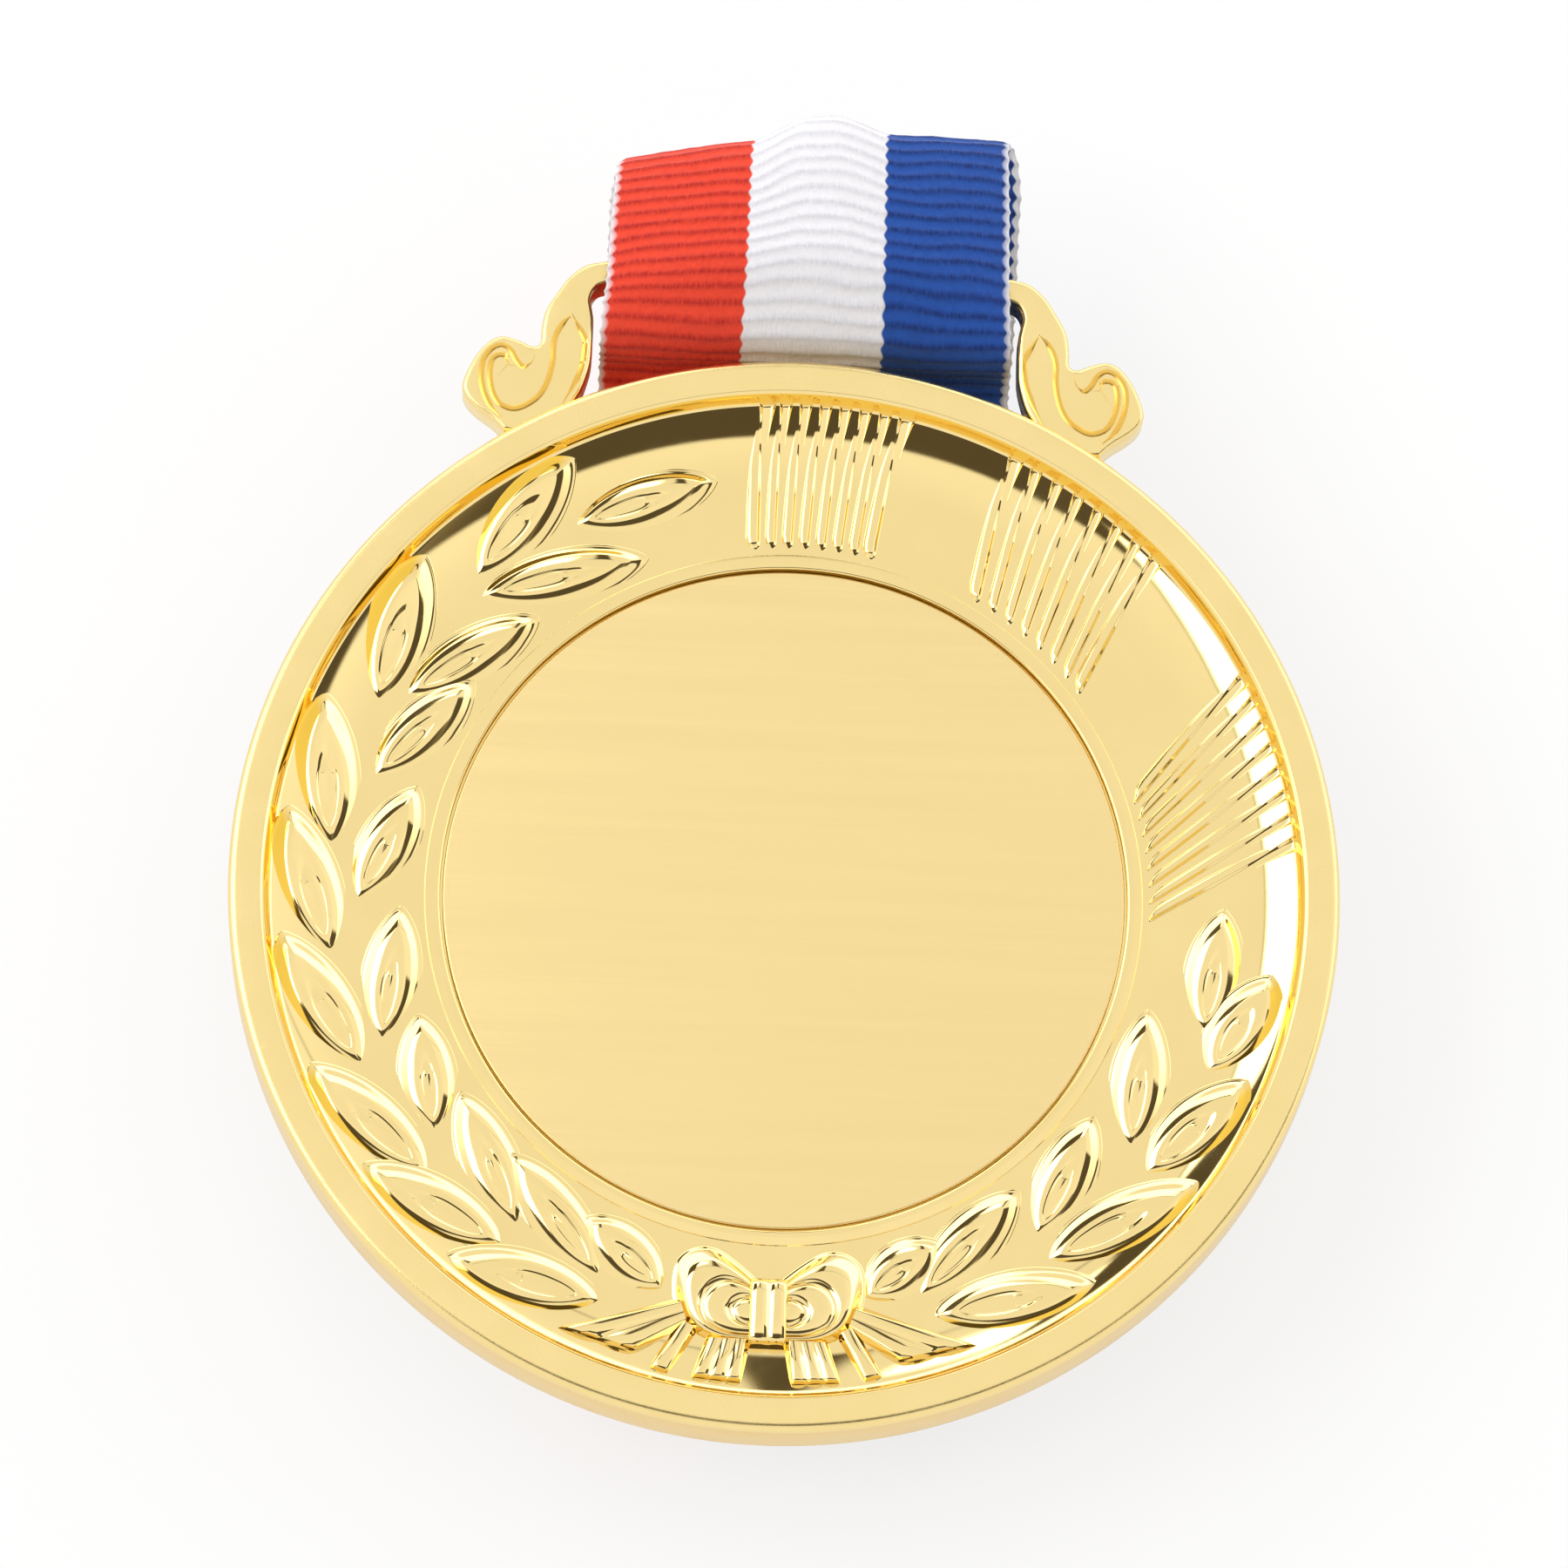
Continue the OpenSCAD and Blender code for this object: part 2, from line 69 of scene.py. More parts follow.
# %% Camera
look_at = Vector((-0.25, 6.88, 13.0)) * MM
camera_turn, camera_height, camera_roll = (math.radians(a) for a in (-3.61, 73.39, 5.97))
camera_distance, lens_mm, sensor_mm, nearest = 0.6, 234.4, 36, 0.01
towards_camera = Vector((
    math.sin(camera_turn) * math.cos(camera_height),
    -math.cos(camera_turn) * math.cos(camera_height),
    math.sin(camera_height),
))
level = Vector((0, 0, 1)).cross(towards_camera).normalized()
upright = towards_camera.cross(level)
across_frame = level * math.cos(camera_roll) + upright * math.sin(camera_roll)
up_frame = upright * math.cos(camera_roll) - level * math.sin(camera_roll)
camera_data = bpy.data.cameras.new("camera")
camera_data.lens = lens_mm
camera_data.sensor_width = sensor_mm
camera_data.clip_start = nearest
camera = bpy.data.objects.new("camera", camera_data)
camera.matrix_world = Matrix.Translation(look_at + towards_camera * camera_distance) @ Matrix(
    (across_frame, up_frame, towards_camera)).transposed().to_4x4()
bpy.context.scene.collection.objects.link(camera)
bpy.context.scene.camera = camera
bpy.context.scene.view_settings.view_transform = "Standard"
print("camera at", [round(c, 3) for c in camera.matrix_world.translation])

# %% [markdown]
# ## Wiring nodes
# Materials, the studio and the Geometry Nodes trees are all node trees. Linking sockets one by one is
# hard to read, so a small class stands for a node's output and lets sums be written as in Python. Each
# sum still becomes one Math node in the tree.

# %% Node helpers
class Wire:
    """What a node puts out: it can be linked, and added or multiplied as a number can."""

    def __init__(self, socket):
        self.socket = socket
        self.tree = socket.id_data

    def calc(self, operation, *others):
        """One Math node's result."""
        return get(self.tree, "ShaderNodeMath", dict(enumerate((self, *others))), operation=operation)

    def __add__(self, other):
        return self.calc("ADD", other)

    def __sub__(self, other):
        return self.calc("SUBTRACT", other)

    def __rsub__(self, other):
        return self * -1.0 + other

    def __mul__(self, other):
        return self.calc("MULTIPLY", other)

    def __truediv__(self, other):
        return self.calc("DIVIDE", other)

    def __pow__(self, other):
        return self.calc("POWER", other)

    def __abs__(self):
        return self.calc("ABSOLUTE")

    def ramp(self, low, high, start=0.0, end=1.0):
        """A smooth step from start to end as the value goes from low to high."""
        limits = {"Value": self, "From Min": low, "From Max": high, "To Min": start, "To Max": end}
        return get(self.tree, "ShaderNodeMapRange", limits, interpolation_type="SMOOTHSTEP")

    def blend(self, first, second):
        """A number between two, by this share."""
        return get(self.tree, "ShaderNodeMix", {0: self, 2: first, 3: second})

    def tint(self, first, second):
        """A colour between two, by this share."""
        return get(self.tree, "ShaderNodeMix", {0: self, 6: first, 7: second}, 2, data_type="RGBA")

    def to(self, socket):
        """Links the value to an input."""
        self.tree.links.new(self.socket, socket)


def put(tree, kind, inputs=None, **settings):
    """Adds a node; an input that is given a wire is linked to it, and any other value is set on it."""
    made = tree.nodes.new(kind)
    for key, value in settings.items():
        setattr(made, key, value)
    for key, value in (inputs or {}).items():
        if isinstance(value, Wire):
            value.to(made.inputs[key])
        else:
            made.inputs[key].default_value = value
    return made


def get(tree, kind, inputs=None, pick=0, **settings):
    """Adds a node and returns one of its outputs."""
    return Wire(put(tree, kind, inputs, **settings).outputs[pick])


def split(whole):
    """The three parts of a vector."""
    return [Wire(part) for part in put(whole.tree, "ShaderNodeSeparateXYZ", {0: whole}).outputs]


def vector(tree, x=0.0, y=0.0, z=0.0):
    """A vector from its three parts."""
    return get(tree, "ShaderNodeCombineXYZ", {0: x, 1: y, 2: z})


# %% [markdown]
# ## The studio
# Polished gilding has no colour of its own beyond a tint: it shows the room. The room here is a large
# soft panel overhead, a bright window on the left, a small bright patch behind on the left, a dark card
# on the right, a bright band round the horizon, and darkness around the camera. Lamps and cards could
# make it. One world shader that goes by direction is simpler and has less noise. The camera itself sees
# plain white.

# %% Studio
pure_white, dusk = (1, 1, 1, 1), (1, 0.83, 0.57, 1)
# Areas of the room as (left, right, front, back), in degrees from overhead
panel_area, behind_area = (-27, 60, -13.5, 38), (-27, 60, 38, 69)
window_area, patch_area, card_area = (-70, -28, -20, 38), (-28, -11, 46, 58), (39, 90, -30, 6)
gap_half, card_low, horizon_low, horizon_high = 4, 58, 76, 80
band_front, band_side, band_corner, band_back = 41, 57, 60, 65
edge = 1.5
panel_light, window_light, band_light, front_light = 0.97, 3.2, 2.4, 1.0
dark_light, side_light, horizon_light = 0.1, 0.4, 1.0
side_glow, front_glow = 0.14, 0.084
# Where these lights come and go, in degrees from overhead or as shares of a direction
side_glow_run, front_glow_run, corner_run = (10, 50), (18, -14), (12, 35)
front_run, back_run, dim_run, side_run = (-0.5, -0.05), (0.2, 0.7), (-0.3, 0.45), (0.4, 0.8)
dusk_run = (0.1, 0.6)

world = bpy.data.worlds.new("studio")
bpy.context.scene.world = world
world.use_nodes = True
tree = world.node_tree
tree.nodes.clear()
way_x, way_y, way_z = split(get(tree, "ShaderNodeTexCoord", pick="Generated"))
to_degrees = 180 / math.pi
tilt_x = way_x.calc("ARCTAN2", way_z) * to_degrees
tilt_y = way_y.calc("ARCTAN2", way_z) * to_degrees
from_zenith = way_z.calc("ARCCOSINE") * to_degrees


def between(angle, low, high):
    """1 where an angle lies between two limits, with a soft edge."""
    return angle.ramp(low - edge, low + edge) * angle.ramp(high - edge, high + edge, 1, 0)


def area(left, right, front, back):
    """1 inside an area of the room."""
    return between(tilt_x, left, right) * between(tilt_y, front, back)


panel = area(*panel_area).calc("MAXIMUM", area(*behind_area) * (1.0 - between(tilt_x, -gap_half, gap_half)))
panel_glow = tilt_x.ramp(*side_glow_run) * side_glow + tilt_y.ramp(*front_glow_run) * front_glow
panel_level = panel_glow + panel_light
window = area(*window_area).calc("MAXIMUM", area(*patch_area))
back_start = abs(tilt_x).ramp(*corner_run, band_back, band_corner)
band_start = way_y.ramp(*front_run, band_front, band_side) + way_y.ramp(*back_run) * (back_start - band_side)
band = (from_zenith - band_start).ramp(-edge, edge)
band_level = way_y.ramp(*dim_run, 1, 0).blend(band_light, front_light)
band_level = from_zenith.ramp(horizon_low, horizon_high).blend(band_level, horizon_light)
card = area(*card_area) * from_zenith.ramp(card_low - edge, card_low + edge, 1, 0)
studio = way_x.ramp(*side_run).blend(dark_light, side_light)
for share, light in ((panel, panel_level), (window, window_light), (band, band_level), (card, dark_light)):
    studio = share.blend(studio, light)
tone = studio.ramp(*dusk_run).tint(dusk, pure_white)
room = get(tree, "ShaderNodeBackground", {"Color": tone, "Strength": studio})
plain = get(tree, "ShaderNodeBackground", {"Color": pure_white, "Strength": 1.0})
to_camera = get(tree, "ShaderNodeLightPath", pick="Is Camera Ray")
seen = get(tree, "ShaderNodeMixShader", {0: to_camera, 1: room, 2: plain})
put(tree, "ShaderNodeOutputWorld", {"Surface": seen})
print("studio with", len(tree.nodes), "nodes")

# %% [markdown]
# ## The floor
# The medal lies on a white sheet. Most of the sheet's white is its own glow for the camera and for
# reflections, so that it stays white, and the rest is lit, so that it keeps a soft shadow.

# %% Floor
floor_half, floor_glow, paper_white = 3.0, 0.72, (0.9, 0.9, 0.9, 1)
floor_mesh = bpy.data.meshes.new("floor")
floor_corners = [(x * floor_half, y * floor_half, 0) for x, y in ((-1, -1), (1, -1), (1, 1), (-1, 1))]
floor_mesh.from_pydata(floor_corners, [], [(0, 1, 2, 3)])
floor = bpy.data.objects.new("floor", floor_mesh)
bpy.context.collection.objects.link(floor)
white_sheet = bpy.data.materials.new("white_sheet")
white_sheet.use_nodes = True
tree = white_sheet.node_tree
tree.nodes.clear()
light_path = put(tree, "ShaderNodeLightPath").outputs
shown = Wire(light_path["Is Camera Ray"]).calc("MAXIMUM", Wire(light_path["Is Glossy Ray"]))
paper = get(tree, "ShaderNodeBsdfDiffuse", {"Color": paper_white})
glow = get(tree, "ShaderNodeEmission", {"Color": pure_white, "Strength": 1.0})
sheet = get(tree, "ShaderNodeMixShader", {0: shown * floor_glow, 1: paper, 2: glow})
put(tree, "ShaderNodeOutputMaterial", {"Surface": sheet})
floor_mesh.materials.append(white_sheet)
print("floor", 2 * floor_half, "m wide")

# %% [markdown]
# ## Gilding
# The casting is plated with a thin bright gold. Under a lens it isn't perfect: the plating has faint
# clouds, a fine grain, and tiny pits. These are one shader group, so that every gilt finish can take
# as much of them as it shows. The polished field takes little, and the satin rim takes more grain.
# Gold facing gold shows its reflection; a piece can carry a "deep" value that paints that in as deeper gold.

# %% Plating
# The three deeper golds are painted reflections: for the disc's outer side, for the wall under the rim, and
# for the leaves' flanks that face the wall
gold, pale_gold, painted_side_reflection = (0.93, 0.725, 0.315, 1), (0.945, 0.745, 0.335, 1), (0.88, 0.62, 0.2, 1)
painted_wall_reflection, painted_flank_reflection = (0.95, 0.7, 0.18, 1), (0.93, 0.59, 0.08, 1)
cloud_scale, grain_scale = 260.0, 9000.0
tint_run, wear_run, pit_edge = (0.3, 0.75), (0.45, 0.8), (0.03, 0.08)


def noise(tree, scale, detail, **more):
    """Noise of a scale, in a finish or in a Geometry Nodes tree."""
    return get(tree, "ShaderNodeTexNoise", {"Scale": scale, "Detail": detail, **more})


def place_in(tree):
    """The place on a piece, in its own coordinates."""
    return get(tree, "ShaderNodeTexCoord", pick="Object")


plating = bpy.data.node_groups.new("plating", "ShaderNodeTree")
for label, scale in (("Clouds", cloud_scale), ("Grain", grain_scale)):
    plating.interface.new_socket(label, in_out="INPUT", socket_type="NodeSocketFloat").default_value = scale
for label in ("Tint", "Wear", "Height"):
    plating.interface.new_socket(label, in_out="OUTPUT", socket_type="NodeSocketFloat")
cloud_size, grain_size = (Wire(socket) for socket in plating.nodes.new("NodeGroupInput").outputs[:2])
place = place_in(plating)
clouds = noise(plating, cloud_size, 3.0, Vector=place)
grain = noise(plating, grain_size, 2.0, Vector=place)
cells = get(plating, "ShaderNodeTexVoronoi", {"Vector": place, "Scale": cloud_size}, "Distance")
pits = cells.ramp(*pit_edge, 1, 0)
put(plating, "NodeGroupOutput", {
    "Tint": clouds.ramp(*tint_run), "Wear": clouds.ramp(*wear_run) + pits, "Height": grain - pits})
print("plating group with", len(plating.nodes), "nodes")


# %% Gilt finishes
def new_finish(name, metallic=0.0):
    """A material with an empty tree and its Principled shader."""
    made = bpy.data.materials.new(name)
    made.use_nodes = True
    made.node_tree.nodes.clear()
    shader = put(made.node_tree, "ShaderNodeBsdfPrincipled", {"Metallic": metallic})
    put(made.node_tree, "ShaderNodeOutputMaterial", {"Surface": Wire(shader.outputs[0])})
    return made, made.node_tree, shader.inputs


def plated(tree):
    """The plating in a finish: its clouded gold, its wear and its height."""
    coat = put(tree, "ShaderNodeGroup", {"Clouds": cloud_scale, "Grain": grain_scale}, node_tree=plating)
    cloudy, wear, height = (Wire(socket) for socket in coat.outputs)
    return cloudy.tint(gold, pale_gold), wear, height


def emboss(shader, height, depth, strength):
    """Gives a shader the relief of a height, with its depth in millimetres."""
    bump = {"Height": height, "Distance": depth * MM, "Strength": strength}
    get(height.tree, "ShaderNodeBump", bump).to(shader["Normal"])


def carried(tree, label):
    """A value that a piece's mesh carries."""
    return get(tree, "ShaderNodeAttribute", pick="Fac", attribute_name=label)


grain_depth = 0.02


def gilt(name, smooth, worn, strength):
    """A gilt finish: its roughness where it is smooth and worn, and the strength of its grain."""
    made, tree, shader = new_finish(name, 1.0)
    tone, wear, height = plated(tree)
    # Painted reflection: where a piece carries "deep", a deeper gold stands in for gold reflected in gold
    carried(tree, "deep").tint(tone, painted_flank_reflection).to(shader["Base Color"])
    wear.ramp(0, 1, smooth, worn).to(shader["Roughness"])
    emboss(shader, height, grain_depth, strength)
    return made


polished = gilt("polished_gilt", 0.05, 0.1, 0.02)
satin = gilt("satin_gilt", 0.24, 0.32, 0.25)
print("gilt finishes:", polished.name, satin.name)

# %% [markdown]
# The disc is one casting with two finishes: the rim's band, its side and the back are satin, and
# everything inside the band is polished. The wall under the rim faces the gold of the field, and its
# reflection of that gold is painted in as a deeper gold; the outer side also gets a painted deeper gold
# for what it reflects. All of this follows the radius and the height, so the finish can find it from the
# piece's own coordinates.

# %% Finish of the disc
rim_w, rim_round, wall_run, wall_h = 1.4, 0.5, 0.5, 1.1
field_depth, cove_w, back_rim_w, back_depth = 2.2, 4.7, 1.6, 0.3
rim_in_r = disc_r - rim_round - rim_w
wall_r = rim_in_r - wall_run
cove_r = wall_r - cove_w
polished_rough, satin_rough, wear_rough, polished_grain, satin_strength = 0.05, 0.26, 0.05, 0.05, 0.25
# Where the finish changes: from the rim's edge, under the top, over the back and up the wall
band_in, band_soft, side_low, side_soft = 0.02, 0.1, 0.9, 0.6
back_high, back_soft, wall_foot, wall_head, wall_soft = 0.6, 0.3, 0.05, 0.2, 0.1


def past(value, low, run):
    """0 up to a height or radius in millimetres, and 1 from a run further on."""
    return value.ramp(low * MM, (low + run) * MM)


disc_finish, tree, shader = new_finish("disc_gilt", 1.0)
spot_x, spot_y, spot_z = split(place_in(tree))
on_band = past((spot_x ** 2.0 + spot_y ** 2.0).calc("SQRT"), rim_in_r + band_in, band_soft)
on_side = (1.0 - past(spot_z, disc_top - side_low, side_soft)) * on_band
over_face = past(spot_z, disc_top - wall_h + wall_foot, wall_soft)
on_wall = over_face * (1.0 - past(spot_z, disc_top - wall_head, wall_soft)) * (1.0 - on_band)
satin_share = on_band.calc("MAXIMUM", 1.0 - past(spot_z, disc_z + back_high, back_soft))
tone, wear, height = plated(tree)
# Painted reflection: the wall under the rim and the outer side take deeper golds in place of the gold they
# reflect
on_side.tint(on_wall.tint(tone, painted_wall_reflection), painted_side_reflection).to(shader["Base Color"])
(wear * wear_rough + satin_share.ramp(0, 1, polished_rough, satin_rough)).to(shader["Roughness"])
emboss(shader, height * satin_share.ramp(0, 1, polished_grain, 1.0), grain_depth, satin_strength)
print("disc finish turns satin at", round(rim_in_r, 2), "mm")

# %% [markdown]
# ## The disc
# A lathe turns a profile into a disc, and so does this cell. The profile is a short list of corners,
# each with the radius that the die gives it. Those small roundings matter more than their size: on
# polished metal each of them draws the thin bright or dark line that outlines the form.

# %% Turning a profile
def rounded(corners, steps=6):
    """A line through corners given as (x, y, radius), each corner rounded by its radius."""
    line = []
    for i, (x, y, bend) in enumerate(corners):
        here = np.array((x, y))
        if bend == 0 or i in (0, len(corners) - 1):
            line.append(here)
            continue
        before = np.array(corners[i - 1][:2]) - here
        after = np.array(corners[i + 1][:2]) - here
        before, after = before / np.linalg.norm(before), after / np.linalg.norm(after)
        half = 0.5 * math.acos(np.clip(before @ after, -1, 1))
        centre = here + (before + after) / np.linalg.norm(before + after) * bend / math.sin(half)
        first = here + before * bend / math.tan(half) - centre
        last = here + after * bend / math.tan(half) - centre
        turn = math.pi - 2 * half
        for t in np.linspace(0, 1, steps + 1):
            arm = first * math.sin((1 - t) * turn) + last * math.sin(t * turn)
            line.append(centre + arm / math.sin(turn))
    return np.array(line)


def ring_faces(rows, count, first=0):
    """Faces between rings of count points each."""
    at = lambda row, k: first + row * count + k % count
    return [(at(i, k), at(i, k + 1), at(i + 1, k + 1), at(i + 1, k))
            for i in range(rows - 1) for k in range(count)]


def make_mesh(name, points, faces, crease=50):
    """An object from points in millimetres; edges sharper than crease degrees stay crisp."""
    mesh = bpy.data.meshes.new(name)
    mesh.from_pydata([tuple(float(c) * MM for c in p) for p in points], [], faces)
    shell = bmesh.new()
    shell.from_mesh(mesh)
    bmesh.ops.remove_doubles(shell, verts=shell.verts, dist=1e-7)
    bmesh.ops.recalc_face_normals(shell, faces=shell.faces)
    shell.to_mesh(mesh)
    shell.free()
    mesh.shade_smooth()
    mesh.set_sharp_from_angle(angle=math.radians(crease))
    piece = bpy.data.objects.new(name, mesh)
    bpy.context.collection.objects.link(piece)
    return piece


def turned(name, profile, columns):
    """A profile of (radius, height) points turned round Z, with its two ends on the axis.

    columns(row, radius) gives the angles of a row's points and how far each is lifted."""
    points = [(0, 0, profile[0][1] + disc_z), (0, 0, profile[-1][1] + disc_z)]
    rows = len(profile) - 2
    for row, (r, z) in enumerate(profile[1:-1]):
        angles, lift = columns(row, r)
        points += [(r * math.cos(a), r * math.sin(a), z + disc_z + up) for a, up in zip(angles, lift)]
    count = len(angles)
    first, last = 2, 2 + (rows - 1) * count
    faces = ring_faces(rows, count, first)
    faces += [(0, first + (k + 1) % count, first + k) for k in range(count)]
    faces += [(1, last + k, last + (k + 1) % count) for k in range(count)]
    return make_mesh(name, points, faces)


def finish_piece(piece, material, body, nodes):
    """Gives a finished piece its material, its body and the CAD nodes that it stands for."""
    piece.data.materials.clear()
    piece.data.materials.append(material)
    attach(piece, body)
    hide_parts(*nodes)
    print(f"{piece.name}: {sum(len(p.vertices) - 2 for p in piece.data.polygons)} triangles")


# %% Levels of the face
insert_r, insert_t, insert_play, adhesive_t = 20.0, 0.6, 0.15, 0.1
lip_w, lip_h, lip_run, insert_sink = 0.4, 0.12, 0.75, 0.2
field_z, wall_z = disc_t - field_depth, disc_t - wall_h
recess_r = insert_r + insert_play
lip_r = recess_r + lip_w
lip_foot_r = lip_r + lip_run
lip_z = field_z + lip_h
insert_top = lip_z - insert_sink
recess_z = insert_top - insert_t - adhesive_t
cove_rise = wall_z - field_z
cove_bend = (cove_w ** 2 + cove_rise ** 2) / (2 * cove_rise)


def face_z(r):
    """Height of the coved face above the disc's back at a radius."""
    out = np.maximum(np.asarray(r, float) - cove_r, 0)
    return field_z + cove_bend - np.sqrt(cove_bend ** 2 - out ** 2)


print(f"field {field_z:.2f} and insert {insert_top:.2f} over the back, cove bent to {cove_bend:.1f}")

# %% [markdown]
# ## Rays in the coved face
# Three panels of straight rays fan out from the lip to the rim. Each ray starts as a point, is a thin
# ridge at first, levels out half way, and ends as a shallow groove under the rim, because it runs
# straighter than the face that curls up beside it. They are too fine for separate meshes, so the turned
# disc gets extra columns of points that follow the rays, and those points move up or down.

# %% Rays
ray_count = 8
# Panels as (angles at the rim, angles at the lip), from the first ray to the last, anticlockwise
ray_panels = [((9, 28.9), (-1.3, 18)), ((46, 65.7), (37.9, 59.8)), ((78.9, 94.7), (77.9, 96.2))]
ray_start_r = lip_foot_r + 0.15
# Along a ray: the place from its start, its height, the widths of its left slope, its step and its floor
ray_run = [
    (0, 0, 0.1, 0.1, 0), (0.1, 0.19, 0.2, 0.14, 0), (0.2, 0.19, 0.3, 0.17, 0), (0.4, 0.19, 0.42, 0.19, 0),
    (0.8, 0.19, 0.5, 0.19, 0), (2.5, 0.18, 0.5, 0.18, 0), (4, 0.14, 0.47, 0.16, 0.05),
    (5.5, 0.09, 0.4, 0.13, 0.16), (6.5, 0.04, 0.28, 0.12, 0.27), (7.3, 0, 0.15, 0.14, 0.33),
    (8.65, 0, 0.1, 0.18, 0.36)]
# Across a ray, right to left: shares of the right slope, floor, step and left slope, of the depth and height
ray_points = [
    (1.15, 1, 0.75, 0, 0, 0), (1, 1, 0.5, 0, 0, 0), (0.8, 1, 0.5, 0, 0.4, 0), (0.45, 1, 0.5, 0, 0.72, 0),
    (0.15, 1, 0.5, 0, 0.93, 0), (0, 0.9, 0.5, 0, 0.98, 0), (0, 0.45, 0.5, 0, 1, 0), (0, 0, 0.5, 0, 0.97, 0),
    (0, 0, 0.3, 0, 0.85, 0.12), (0, 0, -0.3, 0, 0.15, 0.88), (0, 0, -0.5, 0, 0, 1),
    (0, 0, -0.5, -0.08, 0, 0.98), (0, 0, -0.5, -0.5, 0, 0.78), (0, 0, -0.5, -0.78, 0, 0.64),
    (0, 0, -0.5, -0.83, 0, 0.56), (0, 0, -0.5, -0.92, 0, 0.24), (0, 0, -0.5, -1, 0, 0),
    (0, 0, -0.5, -1.07, 0, 0)]
soft_end_angle, soft_end_run = 30, 0.38
ray_floor_r = wall_r - 2.4
right_share, end_right_share = 0.75, 1.1
end_ray_growth, plain_step = 1.25, 1.25
wall_foot_r, notch_fade = wall_r + 0.05, 0.25


def disc_columns():
    """Columns of the disc: angles at the rim and at the lip, shares of the ray's sizes, and growth."""
    columns = []
    for k, (rim, lip) in enumerate(ray_panels):
        rim_step, lip_step = (rim[1] - rim[0]) / (ray_count - 1), (lip[1] - lip[0]) / (ray_count - 1)
        for q in range(ray_count):
            growth = end_ray_growth if q in (0, ray_count - 1) else 1.0
            ends = (rim[0] + q * rim_step, lip[0] + q * lip_step)
            columns += [(*ends, *shares, growth) for shares in ray_points]
        next_rim, next_lip = ray_panels[(k + 1) % len(ray_panels)]
        turn = 360 if k == len(ray_panels) - 1 else 0
        start = np.array((rim[1] + rim_step, lip[1] + lip_step))
        end = np.array((next_rim[0] - rim_step + turn, next_lip[0] - lip_step + turn))
        count = math.ceil((end[1] - start[1]) / plain_step)
        for f in np.arange(count + 1) / count:
            columns.append((*(start + f * (end - start)), 0, 0, 0, 0, 0, 0, 1.0))
    return np.array(columns)


def on_columns(columns, r):
    """Angles of the columns where they cross a radius, and how far the rays lift or sink the face there."""
    places, *sizes = np.array(ray_run).T
    high, left, step, floor = (np.interp(r - ray_start_r, places, size) for size in sizes)
    straight = float(face_z(ray_floor_r)) + (r - ray_floor_r) * (ray_floor_r - cove_r) / math.sqrt(
        cove_bend ** 2 - (ray_floor_r - cove_r) ** 2)
    deep = max(0, float(face_z(min(r, wall_r))) - straight) if r > ray_floor_r else 0
    rim, lip, on_right, on_floor, on_step, on_left, depth, height, growth = columns.T
    right = deep * np.where(growth > 1, end_right_share, right_share)
    off = on_right * right + growth * (on_floor * floor + on_step * step + on_left * left)
    soft_end = np.where(lip > soft_end_angle, np.clip((r - ray_start_r) / soft_end_run, 0, 1), 1)
    lift = high * height * growth * soft_end - deep * depth
    lift = lift * np.clip(1 - (r - wall_foot_r) / notch_fade, 0, 1)
    foot = ray_start_r * np.exp(1j * np.radians(lip))
    way = wall_r * np.exp(1j * np.radians(rim)) - foot
    r = min(max(r, ray_start_r), wall_r)
    a, b, c = np.abs(way) ** 2, (foot.conj() * way).real, ray_start_r ** 2 - r ** 2
    angles = np.unwrap(np.angle(foot + way * (np.sqrt(np.maximum(b * b - a * c, 0)) - b) / a))
    return angles - off / r, lift


# %% Disc with its rays
back_in = disc_r - rim_round - back_rim_w
chamfer_w, chamfer_h = 0.18, 0.15
lip_line_r, lip_line_w, lip_line_h = lip_r + 0.5, 0.03, 0.055
edge_corners = [
    (0, back_depth, 0), (back_in - 0.2, back_depth, 0.2), (back_in, 0, 0.2), (disc_r, 0, rim_round),
    (disc_r, disc_t, rim_round), (rim_in_r, disc_t, 0.07), (rim_in_r - chamfer_w, disc_t - chamfer_h, 0.06),
    (wall_foot_r, float(face_z(wall_foot_r)), 0.4)]
cove = [(r, float(face_z(r)), 0) for r in np.linspace(wall_foot_r - 0.3, cove_r, 26)]
ray_end_rows = ray_start_r + np.array([0.8, 0.5, 0.4, 0.3, 0.2, 0.1, 0, -0.05, -0.1])
field_rows = np.linspace(cove_r, ray_end_rows[0] + 0.1, 19)[1:]
field = [(r, field_z, 0) for r in (*field_rows, *ray_end_rows, lip_line_r + 0.1)]
lip = [
    (lip_line_r, field_z, 0.02), (lip_line_r - lip_line_w, field_z + lip_line_h, 0.02),
    (lip_r, lip_z, 0.15), (recess_r, lip_z, 0.16), (recess_r, recess_z, 0), (0, recess_z, 0)]
disc_profile = rounded(edge_corners + cove + field + lip)
on_face = (disc_profile[:, 0] < rim_in_r) & (disc_profile[:, 1] > back_depth + rim_round)
face_row = int(np.argmax(on_face)) - 1
columns = disc_columns()
disc = turned("cast_disc", disc_profile, lambda row, r: on_columns(columns, r if row >= face_row else disc_r))
disc_nodes = ["medal_disc", "rays_top", "rays_upper_right", "rays_right"]
finish_piece(disc, disc_finish, "medal", disc_nodes)

# %% [markdown]
# ## The brushed insert
# A thin disc fills the recess. It is brushed from side to side, so its light spreads in fine level
# lines. Stretched noise gives those lines: the same noise is squeezed along Y and drawn out along X,
# once for fine hairs and once for broad streaks, which vary the tone, the roughness and a shallow bump.

